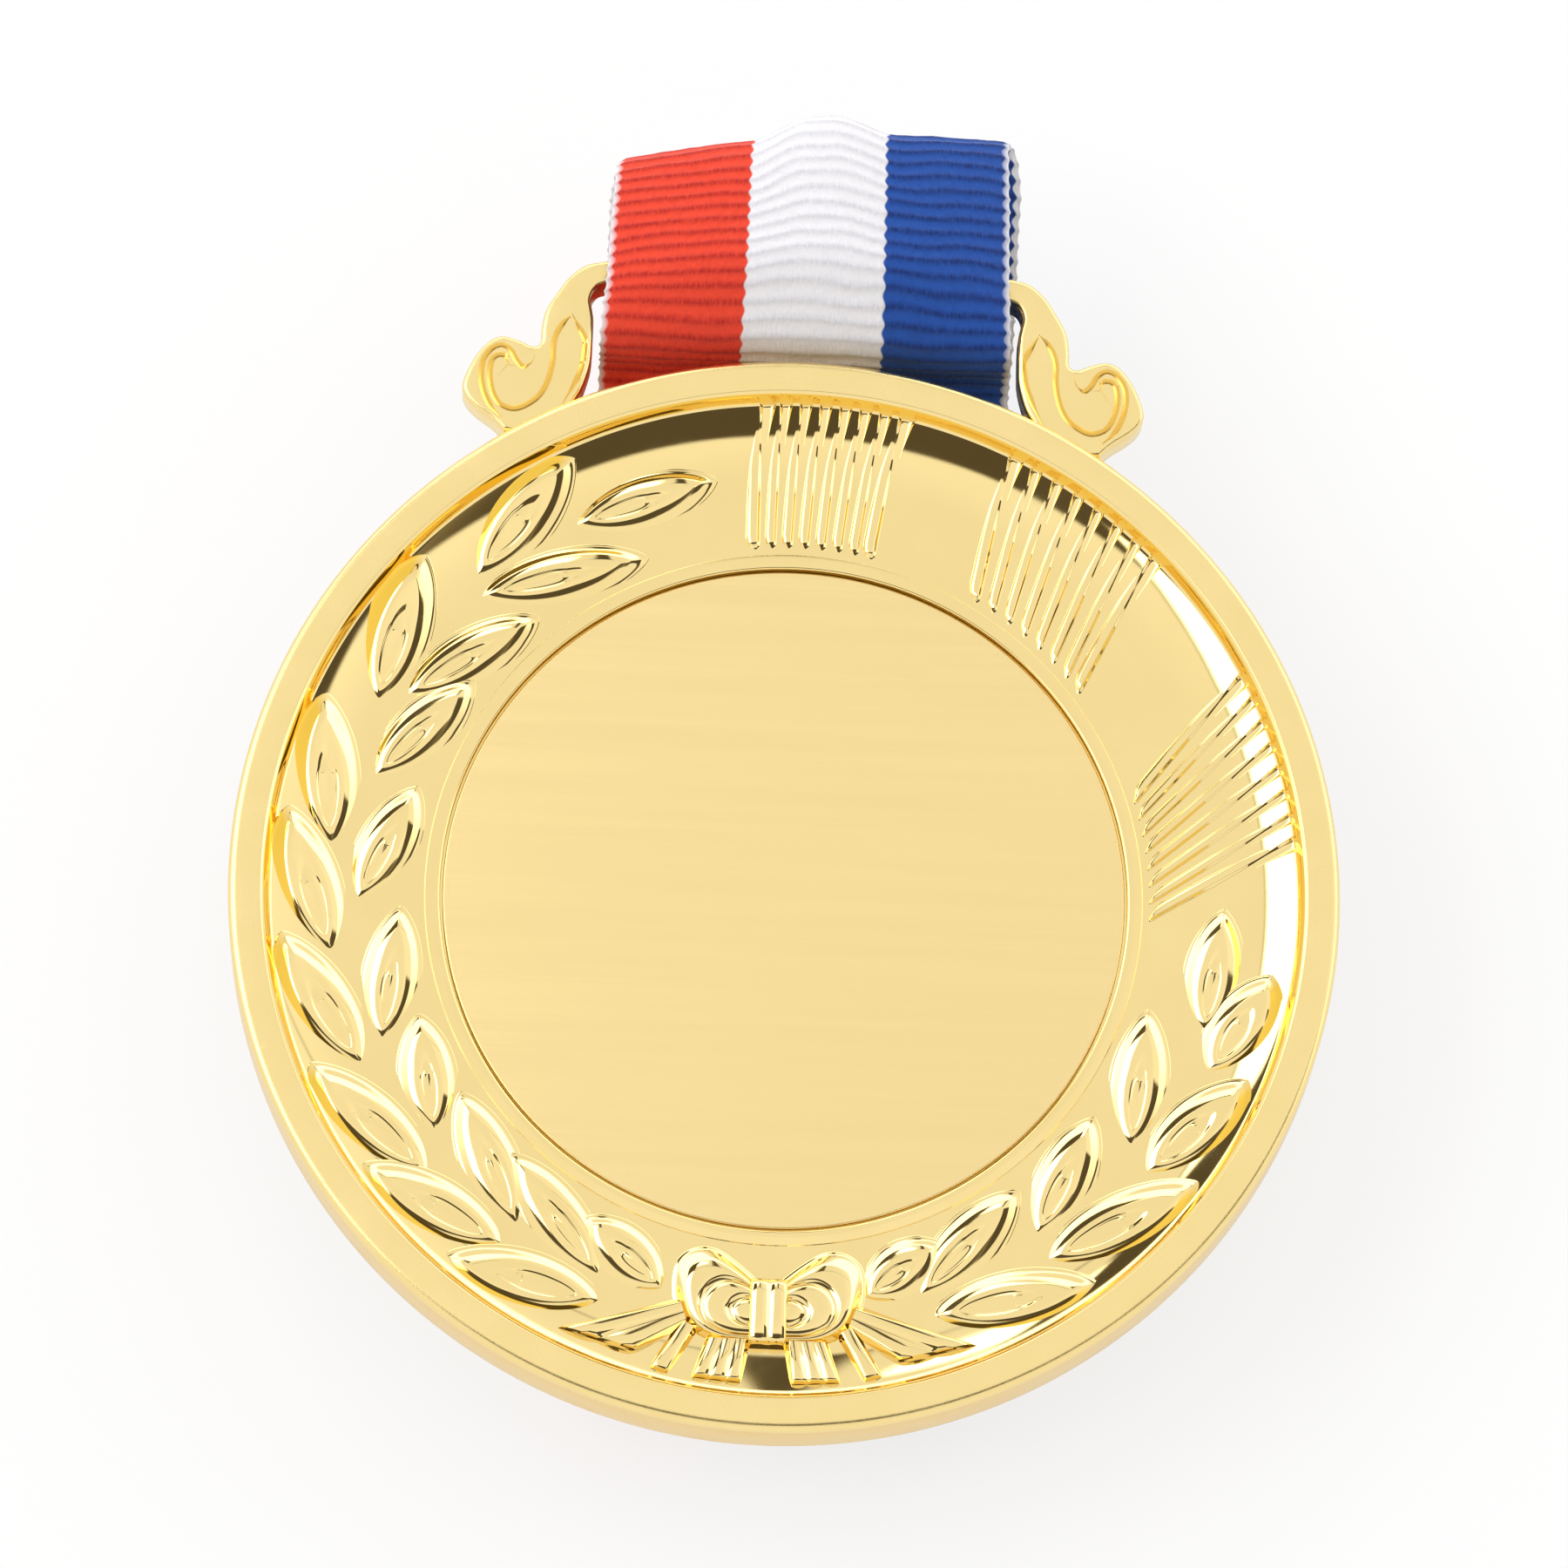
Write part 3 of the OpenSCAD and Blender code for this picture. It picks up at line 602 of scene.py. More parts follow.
# %% Insert
hair_scale, streak_scale = (60.0, 5200.0, 1.0), (25.0, 900.0, 1.0)
insert_gold, insert_light = (0.912, 0.708, 0.325, 1), (0.925, 0.722, 0.338, 1)
insert_turns, insert_foot_round, insert_edge_round = 288, 0.05, 0.12
line_run, insert_rough, hair_depth, hair_strength = (0.7, 1.3), (0.3, 0.36), 0.03, 0.2


def drawn_out(tree, scale, detail):
    """Noise with its own scale along each axis."""
    place = get(tree, "ShaderNodeMapping", {"Vector": place_in(tree), "Scale": scale})
    return noise(tree, 1.0, detail, Vector=place)


brushed, tree, shader = new_finish("brushed_insert", 1.0)
hairs = drawn_out(tree, hair_scale, 4.0)
lines = hairs + drawn_out(tree, streak_scale, 3.0)
lines.ramp(*line_run).tint(insert_gold, insert_light).to(shader["Base Color"])
lines.ramp(*line_run, *insert_rough).to(shader["Roughness"])
emboss(shader, hairs, hair_depth, hair_strength)
insert_base = insert_top - insert_t
insert_profile = rounded([(0, insert_base, 0), (insert_r, insert_base, insert_foot_round),
                          (insert_r, insert_top, insert_edge_round), (0, insert_top, 0)])
even_turn = np.linspace(0, 2 * math.pi, insert_turns, endpoint=False)
insert = turned("brushed_insert", insert_profile, lambda row, r: (even_turn, np.zeros(insert_turns)))
finish_piece(insert, brushed, "medal", ["insert_disc"])

# %% [markdown]
# ## Relief on the coved face
# The leaves repeat one form along the rim, and they stand on a face that curls up towards the rim.
# Geometry Nodes suit this: one tree sets copies of a form on points, each with its own turn and length,
# and then lifts every vertex. Each seat also says how far its leaf follows the curve of the face: one
# that follows it fully lies in the cove, and one that doesn't stands out from it.

# %% Tree that sets a form on the coved face
def new_tree(name, inputs):
    """An empty Geometry Nodes tree, its inputs by name, and the socket for its result."""
    made = bpy.data.node_groups.new(name, "GeometryNodeTree")
    for label, kind in {"Geometry": "Geometry", **inputs}.items():
        made.interface.new_socket(label, in_out="INPUT", socket_type="NodeSocket" + kind)
    made.interface.new_socket("Geometry", in_out="OUTPUT", socket_type="NodeSocketGeometry")
    given = {socket.name: Wire(socket) for socket in made.nodes.new("NodeGroupInput").outputs}
    return made, given, made.nodes.new("NodeGroupOutput").inputs[0]


def named(tree, label):
    """A float attribute that the geometry carries."""
    return get(tree, "GeometryNodeInputNamedAttribute", {"Name": label}, data_type="FLOAT")


def shape_of(tree, thing):
    """The mesh of an object that a tree is given."""
    return get(tree, "GeometryNodeObjectInfo", {"Object": thing}, "Geometry")


def turn_by(tree, **angles):
    """A turn about the axes."""
    return get(tree, "FunctionNodeEulerToRotation", {0: vector(tree, **angles)})


def moved(geometry, offset):
    """Geometry with its points moved."""
    return get(geometry.tree, "GeometryNodeSetPosition", {"Geometry": geometry, "Offset": offset})


def dressed(geometry, finish):
    """Geometry as one mesh with its finish."""
    whole = get(geometry.tree, "GeometryNodeRealizeInstances", {"Geometry": geometry})
    return get(geometry.tree, "GeometryNodeSetMaterial", {"Geometry": whole, "Material": finish})


face_tree, given, result = new_tree("form_on_face", {
    "Form": "Object", "Finish": "Material", "Field height": "Float", "Cove start": "Float",
    "Cove bend": "Float", "Tilt": "Float"})
place = get(face_tree, "GeometryNodeInputPosition")
copies = get(face_tree, "GeometryNodeInstanceOnPoints", {
    "Points": given["Geometry"], "Instance": shape_of(face_tree, given["Form"]),
    "Rotation": turn_by(face_tree, z=named(face_tree, "turn")),
    "Scale": vector(face_tree, named(face_tree, "length"), 1.0, 1.0)})
copies = get(face_tree, "GeometryNodeRotateInstances", {
    "Instances": copies, "Rotation": turn_by(face_tree, x=given["Tilt"]), "Local Space": False,
    "Pivot Point": place})
solid = get(face_tree, "GeometryNodeRealizeInstances", {"Geometry": copies})
flat = get(face_tree, "ShaderNodeVectorMath", {0: place, 1: (1, 1, 0)}, operation="MULTIPLY")
reach = get(face_tree, "ShaderNodeVectorMath", {0: flat}, "Value", operation="LENGTH")
out = (reach - given["Cove start"]).calc("MAXIMUM", 0.0)
bend, seat = given["Cove bend"], named(face_tree, "seat")
curl = bend - (bend ** 2.0 - out ** 2.0).calc("SQRT")
rise = (curl - seat) * named(face_tree, "follow") + seat + given["Field height"]
dressed(moved(solid, vector(face_tree, z=rise)), given["Finish"]).to(result)
print("tree", face_tree.name, "with", len(face_tree.nodes), "nodes")


# %% Running a tree
def line_object(name, points, edges, marks):
    """A helper object of points in millimetres, with a value at each point for every mark."""
    mesh = bpy.data.meshes.new(name)
    mesh.from_pydata([tuple(c * MM for c in p) for p in points], edges, [])
    for label, values in marks.items():
        mesh.attributes.new(label, "FLOAT", "POINT").data.foreach_set("value", values)
    made = bpy.data.objects.new(name, mesh)
    bpy.context.collection.objects.link(made)
    return made


def grown(source, tree, values):
    """Runs a tree on a helper object with the named inputs, and returns the result as a plain mesh."""
    modifier = source.modifiers.new("grow", "NODES")
    modifier.node_group = tree
    sockets = {s.name: s.identifier for s in tree.interface.items_tree if s.in_out == "INPUT"}
    for label, value in values.items():
        modifier[sockets[label]] = value
    source.update_tag()
    bpy.context.view_layer.update()
    mesh = bpy.data.meshes.new_from_object(source.evaluated_get(bpy.context.evaluated_depsgraph_get()))
    source.modifiers.remove(modifier)
    bpy.data.objects.remove(source)
    return mesh


def joined(name, meshes):
    """One object from several meshes."""
    shell = bmesh.new()
    for mesh in meshes:
        shell.from_mesh(mesh)
    whole = bpy.data.meshes.new(name)
    shell.to_mesh(whole)
    shell.free()
    piece = bpy.data.objects.new(name, whole)
    bpy.context.collection.objects.link(piece)
    return piece


# %% [markdown]
# ## The laurel leaf
# Each leaf is an almond with a flat top, broad flanks that flow out into the field, and a small almond
# cut into its top as the vein. It stands highest at its tip and sinks into the field at its stalk. It
# is built as a stack of almond rings from the foot to the vein, which keeps every edge line clean. A leaf
# of the outer row has a wider flank on the rim's side, which reaches the wall; that flank carries a
# painted reflection, a deeper gold for the wall's gold that it faces.

# %% Leaf form
leaf_w, leaf_l = 3.6, 9.6
leaf_sides, almond_blunt, least_l, least_w = 72, 1.5, 0.05, 0.03
skirt_w, skirt_top, painted_reflection_spread = 0.8, 0.67, 4
stalk_stand, stand_run, flank_w, vein_start, tip_inset, vein_inset = 0.75, 0.6, 0.9, 1.15, 1.45, 5.5
# Rings as (inset from the leaf's foot, height), both in millimetres
leaf_rings = [
    (0, -0.6), (0, -0.03), (0.05, 0), (0.1, 0.004), (0.15, 0.014), (0.2, 0.029), (0.26, 0.054), (0.31, 0.079),
    (0.4, 0.137), (0.55, 0.234), (0.66, 0.306), (0.69, 0.322), (0.8, 0.371), (0.92, 0.42), (1.04, 0.464),
    (1.07, 0.473), (1.11, 0.479), (1.2, 0.488), (1.3, 0.497), (1.38, 0.504), (1.42, 0.496), (1.47, 0.474),
    (1.52, 0.456), (1.56, 0.456), (1.61, 0.476), (1.66, 0.494), (1.72, 0.504), (1.78, 0.509)]


def almond(half_l, half_w):
    """Points of an almond outline, from its tip at +X round and back."""
    angles = np.linspace(0, 2 * math.pi, leaf_sides, endpoint=False)
    sway = np.sin(angles)
    return np.stack([half_l * np.cos(angles), half_w * np.sign(sway) * np.abs(sway) ** almond_blunt], 1)


def leaf_form(crowd):
    """One leaf along X; crowd draws its top to the rim's side, where a skirt also widens its foot."""
    points, deep = [], []
    rim_side = np.sign(crowd)
    foot = almond(leaf_l / 2, leaf_w / 2)
    stand = stalk_stand + (1 - stalk_stand) * np.clip(foot[:, 0] / leaf_l + 0.5, 0, stand_run) / stand_run
    for inset, high in leaf_rings:
        sides = inset * stand
        vein_ends = tip_inset * vein_start + vein_inset * (sides - vein_start)
        ends = np.where(sides < vein_start, tip_inset * sides, vein_ends)
        drawn = crowd * np.minimum(sides, flank_w)
        half_w = np.maximum(leaf_w / 2 - sides + np.abs(drawn), least_w)
        ring = almond(np.maximum(leaf_l / 2 - ends, least_l), half_w)
        beside_rim = np.maximum(rim_side * ring[:, 1], 0) / (leaf_w / 2)
        drawn = drawn + rim_side * skirt_w * beside_rim * max(0, 1 - inset / skirt_top)
        # Painted reflection: the rim-side skirt is marked to take the deeper gold of the wall it faces
        deep += list(np.clip(painted_reflection_spread * beside_rim, 0, 1) * (inset < skirt_top))
        points += [(x, y + shift, z) for (x, y), z, shift in zip(ring, high * stand, drawn)]
    top = len(points) - leaf_sides
    faces = ring_faces(len(leaf_rings), leaf_sides)
    faces += [tuple(range(leaf_sides))[::-1], tuple(range(top, len(points)))]
    form = make_mesh("leaf_form", points, faces)
    form.data.attributes.new("deep", "FLOAT", "POINT").data.foreach_set("value", deep)
    return form


rim_crowd = 0.18
leaf_forms = [leaf_form(crowd) for crowd in (0, rim_crowd, -rim_crowd)]
inner_leaf, outer_leaf_left, outer_leaf_right = leaf_forms
print("three leaf forms with", len(inner_leaf.data.polygons), "faces each")

# %% [markdown]
# ## The two laurel branches
# A long branch climbs the left side and a short one the right. Every branch has an outer row of leaves
# that lean out to the rim and an inner row that lean in, and one leaf at its tip. The places below are
# angles round the disc with each leaf's share of the full length.

# %% Laurel
outer_r, inner_r = wall_r - 2.5, lip_foot_r + 2.2
outer_lean, inner_lean, leaf_tilt = 18, -20, 4
tip_follow, low_follow, top_follow, high_follow = 0.1, 0.4, 0.7, 0.85
near_top = 0.7
left_tip = [(111, 0.96)]
left_outer = [(126, 1), (147, 1.02), (167, 1), (181, 1), (196, 1), (212, 1.02), (225, 1), (239, 1)]
left_inner = [(126, 1.1), (144, 1), (157, 0.9), (175, 0.85), (194.5, 0.9), (210, 0.78), (225.5, 0.95),
              (238, 0.98), (249, 0.67)]
right_tip = [(-8, 0.83)]
right_outer = [(-14, 0.75), (-28, 0.88), (-43, 1.07), (-59, 1.04)]
right_inner = [(-26, 0.92), (-44, 0.86), (-61, 0.94), (-71, 0.6)]


def seats(places, r, lean, sense, follow):
    """Seats of one row: sense is 1 where the tips point anticlockwise and -1 where they point clockwise."""
    made = []
    for angle, share in places:
        x, y = math.cos(math.radians(angle)), math.sin(math.radians(angle))
        kept = follow if y < near_top else min(follow, top_follow)
        made.append((r * x, r * y, math.radians(angle + sense * (90 - lean)), share, kept))
    return made


def set_on_face(form, seats):
    """Copies of a form at seats given as (x, y, turn, share of its length, follow), on the coved face."""
    x, y, turn, length, follow = np.array(seats).T
    seat = (face_z(np.hypot(x, y)) - field_z) * MM
    marks = {"turn": turn, "length": length, "follow": follow, "seat": seat}
    source = line_object("seats", [(a, b, 0) for a, b in zip(x, y)], [], marks)
    return grown(source, face_tree, {
        "Form": form, "Finish": polished, "Field height": (disc_z + field_z) * MM, "Cove start": cove_r * MM,
        "Cove bend": cove_bend * MM, "Tilt": math.radians(leaf_tilt)})


def branch(name, node, tip, outer, inner, sense, outer_leaf):
    """One laurel branch as a piece."""
    near = seats(tip, (outer_r + inner_r) / 2, 0, sense, tip_follow)
    near += seats(inner, inner_r, inner_lean, sense, low_follow)
    far = seats(outer, outer_r, outer_lean, sense, high_follow)
    piece = joined(name, [set_on_face(inner_leaf, near), set_on_face(outer_leaf, far)])
    finish_piece(piece, polished, "medal", [node])


branch("laurel_left_leaves", "laurel_left", left_tip, left_outer, left_inner, -1, outer_leaf_left)
branch("laurel_right_leaves", "laurel_right", right_tip, right_outer, right_inner, 1, outer_leaf_right)
for form in leaf_forms:
    bpy.data.objects.remove(form)

# %% [markdown]
# ## The bow
# A ribbon bow closes the wreath. Each loop puffs up, dips into a groove and swells again as the band
# curls back to the knot. Sculpting would do, but the forms are clear enough to write down: an outline,
# the groove, the inner curl, and the height of the metal on the way from each line to the next.

# %% Bow outlines
bow_h, bow_y = 1.0, -(lip_foot_r + 3.8)
sunk, patch_floor = -0.04, -0.12
loop_lines = [
    [(0.8, 1.75), (2.0, 2.75), (3.2, 3.5), (4.3, 3.5), (5.1, 2.9), (5.35, 1.8), (5.25, 0.6), (4.9, -0.4),
     (4.3, -1.2), (3.3, -1.7), (2.0, -1.85), (0.8, -1.85)],
    [(0.8, 1.2), (1.6, 1.6), (2.5, 1.75), (3.2, 1.5), (3.7, 1.0), (3.95, 0.3), (3.8, -0.4), (3.4, -0.9),
     (2.8, -1.25), (2.1, -1.45), (1.4, -1.5), (0.8, -1.5)],
    [(0.8, 0.65), (1.1, 0.72), (1.5, 0.68), (1.85, 0.5), (2.1, 0.25), (2.2, 0.0), (2.1, -0.3), (1.9, -0.55),
     (1.6, -0.75), (1.3, -0.85), (1.0, -0.85), (0.8, -0.8)],
    [(0.8, -0.05)] * 12,
]
# Heights of the loop: (distance outside the first line, share), then (place between the lines, share)
loop_foot = [(0.34, -0.05), (0.27, 0.0), (0.2, 0.025), (0.13, 0.055), (0.06, 0.09)]
loop_heights = [
    (0, 0.14), (0.1, 0.27), (0.25, 0.46), (0.34, 0.56), (0.42, 0.63), (0.5, 0.68), (0.6, 0.72), (0.75, 0.77),
    (0.83, 0.77), (0.9, 0.71), (0.97, 0.6), (1.03, 0.6), (1.1, 0.7), (1.17, 0.77), (1.28, 0.82), (1.5, 0.87),
    (1.66, 0.89), (1.78, 0.86), (1.88, 0.77), (1.97, 0.65), (2.03, 0.65), (2.14, 0.76), (2.28, 0.83),
    (2.6, 0.88), (3.0, 0.9)]


def smooth_line(points, steps):
    """A smooth line through points, with steps to each span."""
    p = np.array(points, float)
    ends = np.vstack([2 * p[0] - p[1], p, 2 * p[-1] - p[-2]])
    line = []
    for i in range(len(p) - 1):
        a, b, c, d = ends[i:i + 4]
        for t in np.arange(steps) / steps:
            line.append(b + t / 2 * (c - a + t * (2 * a - 5 * b + 4 * c - d + t * (3 * (b - c) + d - a))))
    return np.array(line + [p[-1]])


def offset_line(line, distance, closed=False):
    """A line moved sideways to its left by a distance."""
    way = np.roll(line, -1, 0) - np.roll(line, 1, 0) if closed else np.gradient(line, axis=0)
    way /= np.linalg.norm(way, axis=1)[:, None]
    return line + distance * np.column_stack([-way[:, 1], way[:, 0]])


def loop_grid(side):
    """One puffed loop of the bow, as rows of (x, y, height above the face)."""
    lines = [smooth_line(line, 5) for line in loop_lines]
    rows = [(offset_line(lines[0], out), share) for out, share in loop_foot]
    for place, share in loop_heights:
        i = min(math.floor(place), 2)
        rows.append((lines[i] + (place - i) * (lines[i + 1] - lines[i]), share))
    return [[(side * x, bow_y + y, bow_h * share) for x, y in line] for line, share in rows]


print("bow loops with", len(loop_foot) + len(loop_heights), "rows each")


# %% Bow tails and knot
tail_slope, full_share, pleat_low, pleat_rise, pleat_round = 0.6, 0.9, 0.86, 0.14, 0.8
# A tail along its length: (share of the length, share of the slope past its end, share of the height)
tail_rows = [
    (0, 0, 0.8), (0.25, 0, 0.9), (0.5, 0, 1), (0.75, 0, 1), (0.93, 0, 1), (1, 0, 0.94), (1, 0.3, 0.7),
    (1, 0.8, 0.12), (1, 1.2, sunk)]
# Its sloped side: (share of the slope outwards, height)
tail_side = [(0.5, sunk), (0.3, 0.12), (-0.1, 0.8)]
# Tails as (root edge, end edge, heights at both, pleats)
bow_tails = [
    ([(1.15, -1.7), (3.4, -1.7)], [(1.4, -4.2), (4.3, -4.0)], (0.85, 1.22), 3),
    ([(4.2, -1.1), (4.9, -0.7)], [(5.6, -3.95), (6.7, -3.5)], (0.7, 1.15), 1),
    ([(4.7, -0.7), (5.1, 0.45)], [(7.6, -2.6), (11.9, -1.45)], (0.65, 1.1), 2)]
# The knot along its length: (place, share of the height), and across its sloped side: (place, share)
knot_rows = [(-2.25, sunk), (-2.15, 0.15), (-2.05, 0.5), (-1.9, 0.85), (-1.6, 1), (-0.8, 1.06), (0, 1.08),
             (0.8, 1.06), (1.5, 1), (1.8, 0.85), (1.95, 0.5), (2.02, 0.15), (2.1, sunk)]
knot_side = [(1.28, sunk), (1.2, 0.25), (1.1, 0.7)]
knot_half, knot_low, knot_rise, knot_lead = 1.04, 0.94, 0.16, 0.1
pleat_points, knot_points = 8, 25


def tail_grid(root, end, highs, pleats, side):
    """A tail from its root edge to its end edge, with pleats along it and sloped sides and end."""
    root, end = np.array(root, float), np.array(end, float)
    length = np.linalg.norm(end.mean(0) - root.mean(0))
    across = np.linspace(0, 1, pleat_points * pleats + 1)[1:-1]
    wave = pleat_low + pleat_rise * np.abs(np.sin(across * math.pi * pleats)) ** pleat_round
    grid = []
    for along, past_end, share in tail_rows:
        left, right = root + (along + past_end * tail_slope / length) * (end - root)
        high = highs[0] + along * (highs[1] - highs[0])
        way = (right - left) / np.linalg.norm(right - left)
        row = [(left - way * out * tail_slope, h) for out, h in tail_side]
        row += [(left + (right - left) * f, h) for f, h in zip(across, wave)]
        row += [(right + way * out * tail_slope, h) for out, h in tail_side[::-1]]
        grid.append([(side * x, bow_y + y, high * (h * share if share >= full_share else min(h, share)))
                     for (x, y), h in row])
    return grid


def knot_grid():
    """The knot: a band with two ridges and sloped sides."""
    across = np.linspace(-1, 1, knot_points)
    ridge = knot_low + knot_rise * np.abs(np.sin(across * math.pi)) ** pleat_round
    columns = [(-x, share) for x, share in knot_side] + [*zip(knot_half * across, ridge)] + knot_side[::-1]
    high = lambda r, share: min(r * max(share, sunk), share + knot_lead) if r > 0 else sunk
    return [[(x, bow_y + y, bow_h * high(r, share)) for x, r in columns] for y, share in knot_rows]


def relief_patch(grid):
    """Points and faces of a relief patch, closed by a floor that lies just under the face."""
    top = np.asarray(grid, float)
    rows, cols = top.shape[:2]
    under = top.copy()
    under[:, :, 2] = patch_floor
    points = np.vstack([top.reshape(-1, 3), under.reshape(-1, 3)]) + (0, 0, field_z + disc_z)
    faces = [(i * cols + k, i * cols + k + 1, (i + 1) * cols + k + 1, (i + 1) * cols + k)
             for i in range(rows - 1) for k in range(cols - 1)]
    place = np.arange(rows * cols).reshape(rows, cols)
    around = [*place[0], *place[1:, -1], *place[-1, -2::-1], *place[-2:0:-1, 0]]
    shift = rows * cols
    skirt = [(a, b, b + shift, a + shift) for a, b in zip(around, around[1:] + around[:1])]
    return points, faces + [tuple(v + shift for v in f[::-1]) for f in faces] + skirt


bow_grids = []
for side in (1, -1):
    bow_grids += [tail_grid(*tail, side) for tail in bow_tails] + [loop_grid(side)]
bow_points, bow_faces = [], []
for grid in (*bow_grids, knot_grid()):
    points, faces = relief_patch(grid)
    bow_faces += [tuple(int(v) + len(bow_points) for v in f) for f in faces]
    bow_points += list(points)
bow = make_mesh("bow_relief", bow_points, bow_faces)
finish_piece(bow, polished, "medal", ["bow"])

# %% [markdown]
# ## The hanger
# Two scrolls carry the bar that the ribbon runs round. The plate is flat and satin with softly rounded
# edges, and fine lines are cut into it: an S down the stem that winds into the curl, a second line
# round the curl, and one down the inner side. The lines are real grooves. A constrained triangulation
# lets the plate's top follow both the outline and the two lips and the floor of each groove.

# %% Hanger outline
slot_h, bar_w, ribbon_w, slot_play, scroll_w = 4.7, 1.4, 24.6, 0.35, 7.6
hanger_low, hanger_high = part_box("hanger")
hanger_top, hanger_base = hanger_high.z / MM, hanger_low.z / MM
slot_hw = ribbon_w / 2 + slot_play
scroll_inner = [
    (-1, slot_h), (-0.15, slot_h - 0.3), (0.2, slot_h - 1.0), (0.1, slot_h - 1.7), (0, slot_h - 2.4),
    (0, 0.6), (0.05, -0.3), (0.25, -1.2), (0.55, -2.1), (1.0, -2.9)]
scroll_root = [(1.5, -3.9), (3.3, -5.0)]
# The outer side as (distance in from the scroll's width, height over the disc's edge)
scroll_outer = [(scroll_w - inwards, up) for inwards, up in (
    (2.6, -4.85), (1.87, -4.15), (0.9, -3.46), (0.25, -2.8), (0, -2.05), (0.3, -1.0), (0.85, 0.05),
    (1.6, 0.88), (2.35, 1.12), (3.3, 0.88), (4.05, 0.58), (4.5, 0.8), (4.55, 1.7), (4.75, 2.85),
    (5.35, 3.95), (6.05, 5.0), (7.0, 5.8))] + [(-0.5, slot_h + bar_w)]
half_outline = np.vstack([smooth_line(scroll_inner, 8), scroll_root, smooth_line(scroll_outer, 8)])
half_outline += (slot_hw, disc_r)
outline = np.vstack([half_outline, half_outline[::-1] * (-1, 1)])
swept = outline * np.roll(outline[:, ::-1], -1, 0)
if swept[:, 0].sum() < swept[:, 1].sum():
    outline = outline[::-1]
print("hanger outline of", len(outline), "points")

# %% Hanger
groove_lines = [
    [(1.45, 2.6), (1.95, 2.1), (2.35, 1.35), (2.5, 0.6), (2.5, -0.3), (2.7, -1.45), (3.1, -2.4),
     (3.75, -3.05), (4.6, -3.45), (5.4, -3.25), (5.9, -2.65), (6.15, -1.8), (6.2, -1.0), (6.05, -0.35),
     (5.65, -0.1), (5.25, -0.2), (5.15, -0.7)],
    [(3.75, -0.5), (4.2, -0.8), (4.65, -0.4), (5.0, 0.2), (5.5, 0.52), (6.1, 0.3), (6.6, -0.45), (6.7, -1.45),
     (6.5, -2.45), (6.05, -3.35), (5.4, -4.0)],
    [(1.45, 2.6), (1.0, 1.8), (0.62, 1.0), (0.62, 0.3), (0.75, -0.6), (1.15, -1.7), (1.75, -2.9)],
]
groove_hw, groove_depth, groove_shift, edge_round = 0.18, 0.22, 0.2, 0.3
groove_ends, groove_least, plate_crease = 6, 0.25, 28
keep_inside, weld = 2, 1e-6


def groove_runs():
    """The two lips and the floor of each groove: points, and how deep each lies."""
    for line in groove_lines:
        curve = smooth_line(line, 5)
        for mirrored in (1, -1):
            at = (curve + (slot_hw - groove_shift, disc_r)) * (mirrored, 1)
            step = np.arange(len(at))
            taper = np.clip(np.minimum(step, step[::-1]) / groove_ends, groove_least, 1)
            for lip, low in ((groove_hw, 0.0), (0.0, groove_depth), (-groove_hw, 0.0)):
                yield at + taper[:, None] * (offset_line(at, lip) - at), low * taper


def hanger_piece():
    """The plate with rounded edges and cut lines."""
    count = len(outline)
    turns = np.radians(np.linspace(0, 90, 5))
    rounding = [(edge_round * (1 - math.cos(turn)), edge_round * (1 - math.sin(turn))) for turn in turns]
    levels = [(inset, hanger_base + drop) for inset, drop in rounding[::-1]]
    levels += [(inset, hanger_top - drop) for inset, drop in rounding]
    points = [(x, y, z) for inset, z in levels for x, y in offset_line(outline, inset, closed=True)]
    faces = ring_faces(len(levels), count)
    flat_top = [Vector(p[:2]) for p in points[-count:]]
    edges = [(k, (k + 1) % count) for k in range(count)]
    depth = [0.0] * count
    for run, low in groove_runs():
        start = len(flat_top)
        flat_top += [Vector(p) for p in run]
        depth += list(low)
        edges += [(start + k, start + k + 1) for k in range(len(run) - 1)]
    made, _, triangles, origin, _, _ = delaunay_2d_cdt(
        flat_top, edges, [list(range(count))], keep_inside, weld)
    shift = len(points)
    for p, sources in zip(made, origin):
        points.append((p.x, p.y, hanger_top - max([depth[s] for s in sources], default=0.0)))
    faces += [tuple(v + shift for v in t) for t in triangles]
    faces.append(tuple(range(count))[::-1])
    return make_mesh("scroll_hanger", points, faces, plate_crease)


finish_piece(hanger_piece(), satin, "medal", ["hanger"])

# %% [markdown]
# ## The ribbon
# The neck ribbon is one strip of grosgrain, a cloth with strong ribs across its width. It rises through
# the hanger's slot, rolls over the bar, folds over at the top, passes down behind, a little to one side,
# and lies folded to and fro under the disc. A sweep along its path gives the strip, and the ribs are
# real relief: the surface moves in and out along its normal at every rib, and a slow noise lets the ribs
# waver as woven ones do. The tree stores the place along and across the strip, which the cloth's finish
# needs for its stripes.

# %% Ribbon path
ribbon_t, ribbon_gap, pleats = 0.4, 0.45, 12
hanger_lift, hanger_t, bar_play, loop_reach, ribbon_bow, lap_l = 1.0, 2.4, 0.5, 8.4, 2.6, 14.0
crest_drop, fold_steps = 0.5, 13
pitch = ribbon_t + ribbon_gap
hank_front, hank_back = disc_r - 1.6, -(disc_r - 7.2)
bar_y0 = disc_r + slot_h
bar_y = bar_y0 + bar_w / 2
bar_z = disc_z + hanger_lift + hanger_t / 2
over_z = bar_z + math.hypot(bar_w / 2, hanger_t / 2) + bar_play + ribbon_t / 2
crest_y = bar_y0 + bar_w + loop_reach - crest_drop


def layer_z(k):
    """Height of the middle of a folded layer; the lowest leaves room for the seam's overlap."""
    return ribbon_t / 2 + (ribbon_t if k > 0 else 0) + k * pitch


